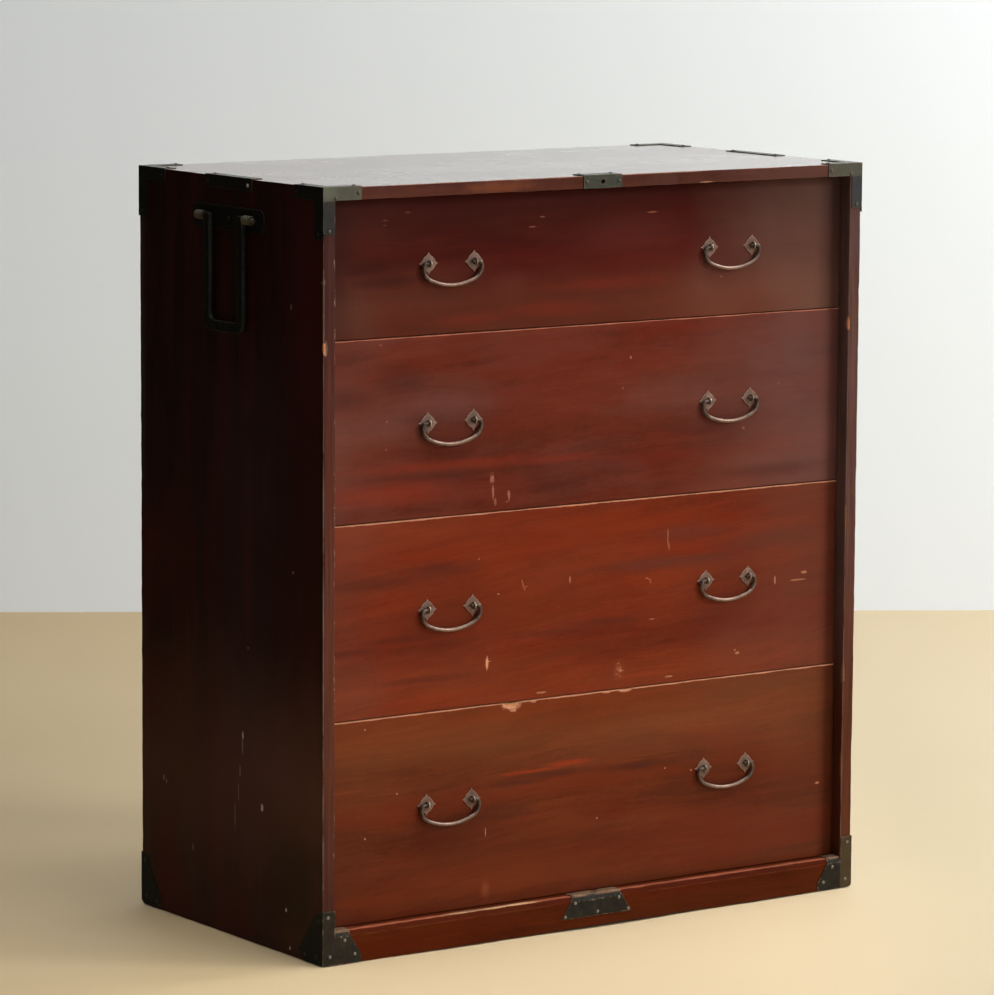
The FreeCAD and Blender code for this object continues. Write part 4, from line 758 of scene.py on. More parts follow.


# each side board has a lacquer of its own, also used on the top board's end faces, whose tone follows the way a face
# looks
def side_look(sx):
    def look(s, col):
        nx, ny, nz = s.sep(s.n)
        facing = s.step(ny, -0.6, -0.9)
        inward = s.step(s.mul(nx, -sx), 0.6, 0.9)
        if sx < 0:
            base = s.ramp(s.z, [(0.06, srgb(74, 40, 30)), (0.35, srgb(92, 49, 36)), (0.62, srgb(82, 41, 32)), (0.82, srgb(66, 35, 31))])
        else:
            base = s.ramp(s.z, [(0.10, srgb(84, 44, 27)), (0.28, srgb(84, 44, 29)), (0.48, srgb(88, 58, 51)), (0.85, srgb(84, 57, 52))])
        # upright streaks on the narrow front faces, purplish grey against olive brown
        g = s.noise(s.vadd(s.vmul(s.p, (300.0, 60.0, 7.0)), (sx, 2.0, 1.0)), 1.0, 4, 0.6)
        h = s.noise(s.vadd(s.p, (sx * 2.0, 5.0, 3.0)), 26.0, 4, 0.6)
        stile = s.mix(s.remap(g, 0.30, 0.70), s.mix(1.0, base, (0.66, 0.62, 0.66, 1), "MULTIPLY"), s.mix(1.0, base, (1.34, 1.42, 1.42, 1), "MULTIPLY"))
        stile = s.mix(s.mul(s.step(h, 0.52, 0.66), 0.5), stile, s.mix(1.0, base, (0.92, 1.12, 1.45, 1), "MULTIPLY"))
        stile = s.mix(s.mul(s.step(h, 0.46, 0.34), 0.5), stile, s.mix(1.0, base, (1.10, 1.12, 0.72, 1), "MULTIPLY"))
        # the outer side: nearly black above, browner and dusty towards the floor
        wob = s.mul(s.sub(s.noise(s.vmul(s.p, (3.0, 5.0, 1.6)), 1.0, 3, 0.55), 0.5), 0.30)
        redder = s.mul(s.step(s.noise(s.vadd(s.vmul(s.p, (5.0, 17.0, 2.2)), (2.0, sx, 5.0)), 1.0, 3, 0.5), 0.46, 0.62), 0.55)
        redder = s.max(redder, s.mul(s.step(s.y, -0.09, -0.17), s.lerp(s.step(s.z, 0.55, 0.75), 0.45, 0.9)))
        col = s.mix(redder, col, srgb(64, 18, 13))
        col = s.mix(1.0, col, (0.84, 0.84, 0.86, 1), "MULTIPLY")
        dust = s.mul(s.step(s.add(s.z, wob), 0.37, 0.14), 0.84)
        dust = s.mul(dust, s.remap(s.y, 0.15, -0.20, 0.55, 1.0))
        dust = s.mul(dust, s.remap(s.add(s.z, s.mul(wob, 0.35)), 0.06, 0.19, 0.30, 1.0))
        col = s.mix(dust, col, srgb(96, 62, 54))
        # broad clouds: purplish in the middle, red to the rear, olive brown near the front foot
        cl = s.noise(s.vadd(s.vmul(s.p, (4.0, 9.0, 5.0)), (sx * 3.0, 1.0, 6.0)), 1.0, 4, 0.6, 0.4)
        much = 1.0 if sx < 0 else 0.45
        mid = s.mul(s.step(s.abs(s.add(s.y, 0.045)), 0.11, 0.03), s.mul(s.step(s.z, 0.10, 0.25), s.step(s.z, 0.80, 0.62)))
        col = s.mix(s.mul(s.mul(mid, s.remap(cl, 0.3, 0.6, 0.3, 1.0)), 0.20 * much), col, srgb(74, 50, 56))
        rear = s.mul(s.step(s.y, 0.05, 0.13), s.step(s.z, 0.66, 0.44))
        col = s.mix(s.mul(s.mul(rear, s.step(cl, 0.40, 0.64)), 0.30 * much), col, srgb(84, 26, 16))
        olive = s.mul(s.step(s.z, 0.38, 0.26), s.max(s.mul(s.step(s.y, -0.09, -0.13), 0.8), s.step(s.y, 0.06, 0.10)))
        col = s.mix(s.mul(s.mul(olive, s.step(cl, 0.62, 0.40)), 0.34 * much), col, srgb(72, 50, 22))
        foot = s.mul(s.step(s.y, -0.06, -0.13), s.mul(s.step(s.z, 0.16, 0.11), s.step(s.z, 0.02, 0.05)))
        col = s.mix(s.mul(foot, s.mul(s.step(cl, 0.66, 0.40), 0.55 * much)), col, srgb(34, 27, 12))
        col = s.mix(s.mul(s.mul(s.step(s.z, 0.085, 0.03), s.step(cl, 0.44, 0.56)), 0.45 * much), col, srgb(70, 18, 10))
        edge_grey = s.mul(s.step(s.y, 0.186, 0.198), s.mul(s.step(s.z, 0.45, 0.62), 0.5))
        col = s.mix(edge_grey, col, srgb(62, 62, 66))
        # thin pale scratches that run with the grain
        fib = s.noise(s.vadd(s.vmul(s.p, (1.0, 620.0, 5.0)), (2.0, sx * 3.0, 1.0)), 1.0, 2, 0.5)
        gate = s.step(s.noise(s.vadd(s.p, (sx, 4.0, 2.0)), 9.0, 2, 0.5), 0.54, 0.66)
        col = s.mix(s.mul(s.mul(s.step(fib, 0.66, 0.72), gate), 0.35), col, srgb(104, 76, 62))
        inner = s.mix(s.remap(g, 0.3, 0.7), srgb(84, 62, 60), srgb(110, 82, 80))
        inner = s.mix(s.step(s.z, 0.40, 0.20), inner, s.mix(s.remap(g, 0.3, 0.7), srgb(68, 32, 18), srgb(82, 40, 24)))
        col = s.mix(inward, col, inner)
        col = s.mix(facing, col, stile)
        if sx > 0:
            # the inner arris of the right stile is rubbed to a thin pale line
            near = s.sub(s.x, 0.3740)
            gap = s.step(s.noise(s.vmul(s.p, (40.0, 40.0, 22.0)), 1.0, 4, 0.65), 0.34, 0.52)
            line = s.mul(s.mul(s.step(near, 0.0013, 0.0005), s.step(s.y, -0.2004, -0.2012)), s.mul(gap, 0.75))
            col = s.mix(line, col, srgb(126, 104, 102))
        else:
            # the inner arris of the left stile is chipped here and there, its foot is flecked
            near = s.sub(-0.3740, s.x)
            n1 = s.noise(s.vmul(s.p, (60.0, 60.0, 42.0)), 1.0, 4, 0.7)
            lim = s.remap(n1, 0.50, 0.72, 0.0, 0.0030)
            chipped = s.mul(s.step(s.sub(lim, near), -0.0002, 0.0004), s.step(s.y, -0.2000, -0.2010))
            col = s.mix(s.mul(chipped, 0.7), col, srgb(150, 118, 104))
            dots = specks(s, 77.0, 70.0, 0.34, 0.0011)
            col = s.mix(s.mul(s.mul(dots, facing), s.mul(s.step(s.z, 0.40, 0.20), 0.75)), col, srgb(176, 150, 130))
        return col
    return look


def side_inside(s):
    """The inner face of a side board behind the front recess is bare."""
    ax = s.abs(s.x)
    return s.mul(s.mul(s.step(ax, 0.3747, 0.3743), s.step(s.y, -0.1845, -0.1815)), s.step(s.z, 0.8848, 0.8842))


def top_inside(s):
    return s.mul(s.step(s.z, 0.8856, 0.8852), s.step(s.y, -0.1845, -0.1815))


for lr, sx in (("left", -1), ("right", 1)):
    lo, hi = box_of("side_panel_" + lr)
    if sx < 0:
        marks = [((-0.3870, -0.2015, 0.7175), (0.0024, 0.006, 0.0085), 0.45), ((-0.3892, -0.2015, 0.7926), (0.0016, 0.006, 0.0032), 0.5)]
        X = -0.3905
        flaws = [(srgb(222, 212, 190), 0.66, [((X, -0.0290, 0.2440), (0.004, 0.0018, 0.0050), 0.8), ((X, -0.0711, 0.1650), (0.004, 0.0026, 0.0044), 0.5),
                                              ((X, -0.1233, 0.0528), (0.004, 0.0018, 0.0024), 0.4), ((X, -0.1319, 0.0092), (0.004, 0.0016, 0.0022), 0.4)]),
                 (srgb(168, 150, 130), 0.42, [((X, -0.0280, 0.2330), (0.004, 0.0014, 0.0110), 0.9), ((X, -0.0226, 0.2010), (0.004, 0.0013, 0.0070), 0.9),
                                              ((X, -0.0190, 0.1760), (0.004, 0.0008, 0.0110), 1.0), ((X, -0.0110, 0.1450), (0.004, 0.0008, 0.0150), 1.0),
                                              ((X, 0.1505, 0.1650), (0.004, 0.0020, 0.0030), 1.0), ((X, 0.1450, 0.1610), (0.004, 0.0012, 0.0030), 1.0),
                                              ((X, -0.0407, 0.3506), (0.004, 0.0014, 0.0016), 0.4), ((X, -0.1383, 0.4527), (0.004, 0.0018, 0.0016), 0.4),
                                              ((X, 0.0839, 0.0907), (0.004, 0.0010, 0.0046), 0.6), ((X, -0.1341, 0.7595), (0.004, 0.0014, 0.0030), 0.6),
                                              ((X, -0.1509, 0.8934), (0.004, 0.0030, 0.0030), 0.8)])]
        elo, ehi = (lo[0], lo[1], -FAR), (FAR, hi[1], FAR)
    else:
        flaws = ()
        marks = [((0.3743, -0.2015, 0.7050), (0.0018, 0.0045, 0.009), 0.45), ((0.3740, -0.2005, 0.2700), (0.004, 0.0022, 0.014), 0.8),
                 ((0.3743, -0.2015, 0.4650), (0.0012, 0.0030, 0.016), 0.7), ((0.3743, -0.2015, 0.155), (0.0012, 0.0028, 0.020), 0.7)]
        elo, ehi = (-FAR, lo[1], -FAR), (hi[0], hi[1], FAR)
    M["side_" + lr] = lacquer(
        "lacquer_side_" + lr, elo, ehi, srgb(40, 15, 10), "z", seed=31.0 + sx, across=1.6, contrast=0.9, worn=(srgb(122, 104, 92) if sx < 0 else srgb(140, 104, 80)),
        wear=0.0008, wear_amount=0.22, marks=marks, marks_amount=0.8, tint_marks=flaws, gloss=0.06, rough=(0.46, 0.62), extra=side_look(sx),
        raw=RAW, raw_where=side_inside, spots=0.25, grime=0.15, bump=0.2)

lo, hi = box_of("top_panel")


def rail_look(s, col):
    g = s.noise(s.vmul(s.p, (6.0, 60.0, 90.0)), 1.0, 4, 0.6)
    rail = s.mix(s.remap(g, 0.3, 0.7), srgb(66, 26, 17), srgb(87, 42, 28))
    h = s.noise(s.p, 22.0, 4, 0.6)
    rail = s.mix(s.mul(s.step(h, 0.50, 0.66), 0.5), rail, srgb(86, 50, 44))
    rail = s.mix(s.mul(s.step(h, 0.46, 0.32), 0.5), rail, srgb(84, 44, 24))
    rail = s.mix(s.mul(s.step(s.x, 0.10, 0.36), 0.28), rail, srgb(108, 82, 74))
    orange = blob(s, (-0.147, -0.202, 0.8915), (0.040, 0.02, 0.006), 0.9, 60.0, 0.6)
    rail = s.mix(s.mul(orange, 0.45), rail, srgb(124, 66, 34))
    return s.mix(s.step(s.x, -0.20, 0.10), rail, s.mix(1.0, rail, (0.86, 0.88, 0.90, 1), "MULTIPLY"))


M["rail"] = lacquer("lacquer_rail", (lo[0], lo[1], -FAR), (hi[0], hi[1], hi[2]), srgb(78, 34, 25), "x", seed=43.0, contrast=0.8,
                    worn=srgb(150, 104, 84), wear=0.0007, wear_amount=0.28, gloss=0.10, rough=(0.42, 0.58), extra=rail_look, spots=0.35,
                    grime=0.1, bump=0.2,
                    marks=[((0.155, -0.202, 0.8862), (0.010, 0.006, 0.0009), 0.9), ((-0.015, -0.202, 0.8860), (0.006, 0.006, 0.0010), 0.9)])
M["top"] = lacquer("lacquer_top", (-FAR, lo[1], -FAR), (FAR, hi[1], hi[2]), srgb(76, 36, 27), "x", seed=41.0, contrast=0.7,
                   worn=srgb(158, 116, 92), wear=0.0008, wear_amount=0.30, coat=0.9, coat_rough=0.12, rough=(0.20, 0.36), gloss=0.5,
                   raw=RAW, raw_where=top_inside, spots=0.2, bump=0.06, grime=0.15)
lo, hi = box_of("front_sill")


def sill_wear(s, col):
    # the upper arris and the front edge of the shelf in front of the drawers are rubbed pale; the rest of that shelf is
    # painted shade, dark where the drawer fronts shade it; the bevel under it keeps a brighter red and shows its lower
    # arris faintly
    n1 = s.noise(s.vmul(s.p, (26.0, 60.0, 130.0)), 1.0, 4, 0.65)
    zz = s.add(s.z, s.mul(s.sub(n1, 0.5), 0.0034))
    ahead = s.step(s.y, -0.1845, -0.1865)
    bevel = s.mul(s.step(s.z, 0.0318, 0.0335), ahead)
    col = s.mix(bevel, col, s.mix(1.0, col, (0.92, 0.76, 0.66, 1), "MULTIPLY"))
    lower = s.mul(s.step(s.abs(s.sub(zz, 0.0325)), 0.0013, 0.0004), s.mul(ahead, s.step(n1, 0.42, 0.54)))
    col = s.mix(s.mul(lower, 0.14), col, srgb(136, 76, 46))
    # painted shade: the shelf before the drawer fronts is darkened as if shaded by them
    flat = s.step(s.z, 0.0390, 0.0393)
    col = s.mix(s.mul(flat, ahead), col, srgb(74, 28, 12))
    back = s.sub(s.y, s.mul(s.sub(n1, 0.5), 0.010))
    m = s.mul(s.mul(s.step(zz, 0.0380, 0.0391), ahead), s.sub(1.0, s.mul(flat, s.step(back, -0.1970, -0.1915))))
    gaps = s.step(s.noise(s.vmul(s.p, (14.0, 90.0, 150.0)), 1.0, 4, 0.6), 0.34, 0.50)
    tone = s.mix(s.noise(s.vmul(s.p, (30, 200, 200)), 1.0, 4, 0.7), srgb(118, 54, 36), srgb(176, 106, 78))
    bright = blob(s, (-0.150, -0.195, 0.0394), (0.055, 0.02, 0.006), 0.9, 60.0, 0.5)
    tone = s.mix(s.mul(bright, 0.7), tone, srgb(226, 188, 142))
    return s.mix(s.mul(s.mul(m, s.lerp(gaps, 0.45, 1.0)), 0.85), col, tone)


M["sill"] = lacquer("lacquer_sill", (-FAR, -FAR, -FAR), (FAR, FAR, FAR), srgb(76, 30, 10), "x", seed=51.0, contrast=0.8,
                    wear=0.0, wear_amount=0.0, gloss=0.02, rough=(0.42, 0.58), extra=sill_wear, spots=0.45, streaks=0.25,
                    raw=RAW, raw_where=lambda s: s.step(s.y, -0.183, -0.178), grime=0.0)
M["back"] = bare_wood("old_back_board", srgb(104, 74, 50), "z", 61.0)
M["inner"] = bare_wood("pale_inner_wood", RAW, "x", 71.0)
M["inner_y"] = bare_wood("pale_inner_wood_long", k(RAW, 0.95), "y", 73.0)
M["shelf"] = bare_wood("shelf_wood", k(RAW, 0.8), "x", 75.0)



def iron_faces(s, col):
    """Old iron in its three colours, with painted shade on the outer sides, rubbed where it is folded."""
    nx, ny, nz = s.sep(s.n)
    a = s.noise(s.vadd(s.p, (1.0, 2.0, 3.0)), 55.0, 4, 0.6, 0.5)
    b = s.noise(s.vadd(s.p, (7.0, 2.0, 5.0)), 70.0, 4, 0.6, 0.5)
    col = s.mix(s.mul(s.step(a, 0.50, 0.64), 0.60), col, srgb(58, 68, 52))
    col = s.mix(s.mul(s.step(a, 0.46, 0.34), 0.60), col, srgb(46, 51, 59))
    c = s.noise(s.vadd(s.p, (2.0, 9.0, 4.0)), 150.0, 3, 0.6, 0.3)
    col = s.mix(s.mul(s.step(c, 0.54, 0.68), 0.40), col, srgb(84, 82, 70))
    col = s.mix(s.mul(s.step(c, 0.44, 0.32), 0.40), col, srgb(40, 36, 30))
    col = s.mix(s.mul(s.step(b, 0.54, 0.68), s.mul(s.step(s.z, 0.5, 0.08), 0.35)), col, srgb(74, 56, 40))
    right = s.step(s.x, 0.29, 0.31)
    left = s.step(s.x, -0.29, -0.31)
    up = s.step(s.z, 0.80, 0.83)
    rail = s.step(s.z, 0.8835, 0.8855)
    on_front = s.step(ny, -0.5, -0.8)
    # right upper corner: olive on the rail, bluish on the stile
    col = s.mix(s.mul(s.mul(right, up), s.mul(rail, 0.50)), col, srgb(88, 88, 76))
    col = s.mix(s.mul(s.mul(right, up), s.mul(s.inv(rail), 0.55)), col, srgb(58, 60, 68))
    # left upper corner: bluish on the stile, with a pale greenish painted highlight at the very corner
    col = s.mix(s.mul(s.mul(left, up), s.mul(s.inv(rail), 0.50)), col, srgb(56, 61, 68))
    painted_corner_highlight = blob(s, (-0.386, -0.202, 0.8965), (0.014, 0.02, 0.008), 0.6, 90.0, 0.8)
    col = s.mix(s.mul(painted_corner_highlight, s.mul(on_front, 0.45)), col, srgb(112, 116, 94))
    # traces of the lacquer round about lie over the arms' ends
    film = s.noise(s.vadd(s.p, (3.0, 8.0, 2.0)), 120.0, 4, 0.65, 0.4)
    ends = s.add(s.mul(s.step(s.abs(s.x), 0.352, 0.333), up), s.mul(s.step(s.z, 0.856, 0.838), s.step(s.z, 0.5, 0.6)))
    col = s.mix(s.mul(s.mul(s.step(film, 0.42, 0.62), on_front), s.mul(ends, 0.60)), col, srgb(82, 44, 34))
    col = s.mix(s.mul(s.mul(s.step(film, 0.50, 0.66), on_front), 0.30), col, srgb(78, 52, 40))
    # the sill plate and the inner arm of the right foot are darker, its outer arm olive brown
    low = s.step(s.z, 0.30, 0.20)
    sill_arm = s.mul(low, s.mul(s.step(s.abs(s.x), 0.3745, 0.3732), s.step(s.x, -0.20, -0.15)))
    col = s.mix(sill_arm, col, s.mix(1.0, col, (0.34, 0.33, 0.30, 1), "MULTIPLY"))
    left_foot = s.mul(low, left)
    col = s.mix(left_foot, col, s.mix(1.0, col, (0.44, 0.42, 0.38, 1), "MULTIPLY"))
    arm = s.mul(s.mul(left, up), s.inv(rail))
    col = s.mix(arm, col, s.mix(1.0, col, (0.58, 0.55, 0.54, 1), "MULTIPLY"))
    arm = s.mul(s.mul(right, up), s.inv(rail))
    col = s.mix(arm, col, s.mix(1.0, col, (0.84, 0.84, 0.84, 1), "MULTIPLY"))
    arm = s.mul(s.mul(left, up), s.mul(rail, on_front))
    col = s.mix(s.mul(arm, 0.40), col, srgb(98, 98, 86))
    lock = s.mul(up, s.step(s.abs(s.x), 0.060, 0.055))
    col = s.mix(s.mul(lock, 0.60), col, srgb(54, 64, 56))
    foot = s.mul(s.mul(low, s.step(s.x, 0.3732, 0.3745)), on_front)
    col = s.mix(s.mul(foot, 0.75), col, s.mix(a, srgb(56, 42, 22), srgb(80, 62, 34)))
    # folded over the sill: rubbed along the bevel
    ahead = s.step(s.abs(s.x), 0.3745, 0.3735)
    fold = s.mul(s.mul(s.step(s.z, 0.0370, 0.0385), s.step(s.z, 0.0440, 0.0425)), s.mul(ahead, s.step(s.y, -0.184, -0.188)))
    worn = s.mix(s.noise(s.p, 240.0, 4, 0.65), srgb(86, 62, 46), srgb(140, 108, 84))
    col = s.mix(s.mul(fold, s.mul(s.step(s.noise(s.p, 90.0, 3, 0.6), 0.30, 0.46), 0.88)), col, worn)
    # painted shade: faces turned to the sides are darkened nearly to black
    shade = s.mul(s.step(s.abs(nx), 0.6, 0.9), 0.93)
    return s.mix(shade, col, srgb(9, 10, 8))


def rim_gate(s):
    """Rims are rubbed bright low on the front and dull above; on the sides hardly at all, which keeps the painted shade
    of the outer sides.
    """
    nx, ny, nz = s.sep(s.n)
    side = s.max(s.step(s.abs(nx), 0.5, 0.8), s.mul(s.step(s.abs(s.x), 0.3912, 0.3914), s.step(s.y, -0.199, -0.196)))
    height = s.lerp(s.step(s.z, 0.3, 0.6), 0.9, 0.40)
    return s.mul(height, s.sub(1.0, s.mul(side, 0.93)))


def nail_look(s, col):
    nx, ny, nz = s.sep(s.n)
    # nail heads higher up are darker; those on the outer sides are darkened further with painted shade
    side = s.step(s.abs(s.x), 0.3908, 0.3912)
    tone = s.lerp(s.step(s.z, 0.3, 0.6), 1.0, 0.50)
    tone = s.mul(tone, s.sub(1.0, s.mul(side, 0.72)))
    nd = s.new("ShaderNodeVectorMath")
    nd.operation = "SCALE"
    s.put(col, nd.inputs[0])
    s.put(tone, nd.inputs["Scale"])
    # painted highlight: one nail head high on the left side is painted nearly white as a glint
    bright = blob(s, (-0.3912, -0.0440, 0.8921), (0.02, 0.010, 0.010), 0.0, 90.0, 0.2)
    return s.mix(s.mul(bright, 0.9), nd.outputs[0], srgb(206, 204, 190))


def nail_gate(s):
    # on the outer sides the rubbed colour is held back, keeping the painted shade there
    side = s.step(s.abs(s.x), 0.3908, 0.3912)
    return s.mul(s.lerp(s.step(s.z, 0.3, 0.6), 1.0, 0.30), s.sub(1.0, s.mul(side, 0.9)))


def carry_look(s, col):
    # the eyes and the tops of the arms are rubbed bright; the rest is painted shade, nearly black, with a painted
    # highlight on the front-facing edges
    ay = s.abs(s.y)
    eye = s.mul(s.step(s.abs(s.sub(s.z, 0.853)), 0.0075, 0.0045), s.mul(s.step(ay, 0.0400, 0.0440), s.step(s.abs(s.x), 0.3935, 0.3955)))
    nx, ny, nz = s.sep(s.n)
    n = s.noise(s.p, 150.0, 3, 0.55)
    # painted shade: the outer faces, on the shaded sides of the chest, are darkened nearly to black
    out = s.mul(s.step(s.abs(nx), 0.55, 0.85), s.inv(eye))
    col = s.mix(out, col, s.mix(1.0, col, (0.40, 0.38, 0.40, 1), "MULTIPLY"))
    # painted highlight: the front-facing edges, turned to the lamp, are lightened to a bluish grey
    painted_lit_edges = s.mul(s.step(ny, -0.45, -0.85), s.inv(eye))
    col = s.mix(s.mul(painted_lit_edges, 0.70), col, s.mix(n, srgb(48, 54, 60), srgb(82, 86, 92)))
    rubbed = s.mix(s.step(s.y, 0.0, 0.02), s.mix(n, srgb(72, 67, 57), srgb(108, 103, 90)), s.mix(n, srgb(74, 66, 61), srgb(102, 92, 84)))
    col = s.mix(s.mul(eye, s.step(n, 0.28, 0.42)), col, rubbed)
    a = s.noise(s.vadd(s.p, (1.0, 2.0, 3.0)), 60.0, 4, 0.6, 0.5)
    b = s.noise(s.vadd(s.vmul(s.p, (1.0, 1.0, 0.35)), (4.0, 2.0, 3.0)), 95.0, 4, 0.65, 0.4)
    col = s.mix(s.mul(s.step(a, 0.50, 0.64), s.lerp(out, 0.45, 0.22)), col, srgb(34, 42, 30))
    return s.mix(s.mul(s.step(b, 0.60, 0.72), s.mul(s.step(s.z, 0.84, 0.80), s.lerp(out, 0.4, 0.22))), col, srgb(70, 62, 64))


M["corner"] = iron("corner_iron", srgb(42, 42, 36), srgb(66, 66, 57), srgb(66, 46, 32), srgb(128, 106, 86), 3.0,
                   wear=0.10, rust_amount=0.25, low_rust=0.25, metal=0.15, edge_wear=0.80, rough=(0.46, 0.66), rub_from=(0.80, 1.0),
                   gloss=0.12, extra=iron_faces, gate=rim_gate, top_coat=0.30)
M["bail"] = iron("handle_iron", srgb(44, 35, 30), srgb(74, 58, 50), srgb(62, 42, 32), srgb(150, 124, 110), 5.0,
                 wear=0.15, rust_amount=0.30, metal=0.45, rough=(0.36, 0.52), edge_wear=0.75, gloss=0.4, rub_from=(0.42, 1.16))
M["plate"] = iron("handle_plate_iron", srgb(88, 66, 56), srgb(132, 104, 92), srgb(104, 70, 54), srgb(184, 156, 138), 7.0,
                  wear=0.50, rust_amount=0.45, metal=0.20, rough=(0.44, 0.62), edge_wear=0.8, gloss=0.3)
M["post"] = iron("handle_post_iron", srgb(82, 66, 55), srgb(124, 104, 88), srgb(90, 64, 46), srgb(200, 178, 152), 17.0,
                 wear=0.60, rust_amount=0.30, metal=0.40, rough=(0.34, 0.52), edge_wear=0.9)
M["carry"] = iron("carrying_iron", srgb(24, 26, 22), srgb(38, 40, 34), srgb(44, 34, 26), srgb(80, 76, 68), 9.0,
                  wear=0.06, rust_amount=0.20, metal=0.08, edge_wear=0.25, rough=(0.46, 0.62), gloss=0.06, extra=carry_look)
M["nail"] = iron("nail_iron", srgb(66, 60, 52), srgb(92, 84, 74), srgb(74, 56, 42), srgb(128, 118, 104), 13.0,
                 wear=0.4, rust_amount=0.3, metal=0.15, rough=(0.48, 0.64), edge_wear=0.7, gloss=0.25, extra=nail_look, gate=nail_gate)

# ---------------------------------------------------------------------------
# Geometry
# ---------------------------------------------------------------------------
def fbm(v, scale, seed=0.0, octaves=3):
    p = Vector(v) * scale + Vector((seed * 13.7, seed * 7.9, seed * 3.3))
    return noise.fractal(p, 0.9, 2.1, octaves)


def from_node(node):
    """A clean copy of a CAD node's faces: welded, flat faces merged."""
    bm = bmesh.new()
    bm.from_mesh(N[node].data)
    bmesh.ops.remove_doubles(bm, verts=bm.verts[:], dist=2e-6)
    bmesh.ops.dissolve_limit(bm, angle_limit=math.radians(0.4), verts=bm.verts[:], edges=bm.edges[:], delimit=set())
    bm.normal_update()
    return bm


def sharp_edges(bm, least=25.0, keep=None):
    out = []
    for e in bm.edges:
        if len(e.link_faces) == 2 and e.calc_face_angle(0.0) > math.radians(least):
            if keep is None or keep(e.verts[0].co, e.verts[1].co):
                out.append(e)
    return out


def cut(bm, axis, values):
    no = Vector((0, 0, 0))
    no[axis] = 1.0
    for v in values:
        bmesh.ops.bisect_plane(bm, geom=bm.verts[:] + bm.edges[:] + bm.faces[:], dist=1e-6, plane_co=no * v, plane_no=no)


def spread(a, b, step):
    n = max(1, int(round((b - a) / step)))
    return [a + (b - a) * i / n for i in range(1, n)]


def make(name, bm, body, mat, stands_for=(), smooth=38.0, weighted=True, second=None):
    me = bpy.data.meshes.new(name)
    bmesh.ops.recalc_face_normals(bm, faces=bm.faces[:])
    if second is not None:
        # some faces show the finish of the board they lie flush with
        bm.normal_update()
        for f in bm.faces:
            f.material_index = 0
            for j, (_, test) in enumerate(second):
                if test(f):
                    f.material_index = j + 1
    bm.to_mesh(me)
    bm.free()
    me.polygons.foreach_set("use_smooth", [True] * len(me.polygons))
    me.set_sharp_from_angle(angle=math.radians(smooth))
    me.materials.append(mat)
    for extra, _ in (second or ()):
        me.materials.append(extra)
    ob = bpy.data.objects.new(name, me)
    scene.collection.objects.link(ob)
    if weighted:
        w = ob.modifiers.new("weighted", "WEIGHTED_NORMAL")
        w.keep_sharp = True
        w.weight = 100
    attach(ob, body)
    if stands_for:
        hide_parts(*stands_for)
    return ob


def board(node, mat, bevel=0.0007, segments=2, steps=(None, None, None), amp=0.0004, reach=0.0028,
          seed=1.0, chips=(), undulate=0.0, keep=None, fine=(), smooth=38.0, second=None):
    """A wooden board: eased arrises, slightly uneven faces, knocks on the edges."""
    lo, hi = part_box(node)
    bm = from_node(node)
    if bevel:
        es = sharp_edges(bm, 25.0, keep)
        if es:
            bmesh.ops.bevel(bm, geom=es, offset=bevel, offset_type="OFFSET", segments=segments, profile=0.55,
                            affect="EDGES", clamp_overlap=True)
    for axis in range(3):
        values = []
        if steps[axis]:
            values += spread(lo[axis], hi[axis], steps[axis])
        for c, r, d in chips:
            values += [c[axis] + r[axis] * t for t in (-1.05, -0.8, -0.55, -0.3, -0.1, 0.1, 0.3, 0.55, 0.8, 1.05)]
        for ax, vals in fine:
            if ax == axis:
                values += vals
        values = sorted(set(round(v, 6) for v in values if lo[axis] + 4e-5 < v < hi[axis] - 4e-5))
        if values:
            cut(bm, axis, values)
    lay = bm.verts.layers.float.new("chip")
    for v in bm.verts:
        co = v.co.copy()
        d = [min(co[i] - lo[i], hi[i] - co[i]) for i in range(3)]
        i0, i1, i2 = sorted(range(3), key=lambda i: d[i])
        if d[i0] > 0.0012:
            continue
        e = d[i1]
        move = Vector((0, 0, 0))
        if keep is not None and not keep(co, co):
            continue
        if e < reach and amp:
            n = fbm(co, 55.0, seed, 4)
            knock = max(0.0, fbm(co, 24.0, seed + 5.0, 2) - 0.42) * 2.2
            a = amp * (0.45 + 0.75 * n + knock) * (1.0 - e / reach)
            a = max(0.0, a)
            for i in (i0, i1):
                mid = (lo[i] + hi[i]) / 2
                move[i] += a if co[i] < mid else -a
        if undulate and d[i0] < 4e-5:
            f = min(1.0, e / 0.03)
            f = f * f * (3 - 2 * f)
            a = undulate * f * (0.5 + 0.5 * fbm(co, 5.5, seed + 2.0, 2))
            mid = (lo[i0] + hi[i0]) / 2
            move[i0] += a if co[i0] < mid else -a
        chip = 0.0
        for c, r, depth in chips:
            q = math.sqrt(sum(((co[i] - c[i]) / r[i]) ** 2 for i in range(3)))
            q += 0.38 * fbm(co, 240.0, seed + 9.0, 3)
            if q < 1.0:
                a = depth * (1.0 - q * q) ** 0.6
                chip = max(chip, min(1.0, (1.0 - q) * 3.0))
                for i in (i0, i1):
                    mid = (lo[i] + hi[i]) / 2
                    if d[i] < 0.004:
                        move[i] += (a if co[i] < mid else -a) * (1.0 if i == i0 else 0.55)
        v[lay] = chip
        v.co = co + move
    return make(node + "_v", bm, BODY[node], mat, (node,), smooth, second=second)


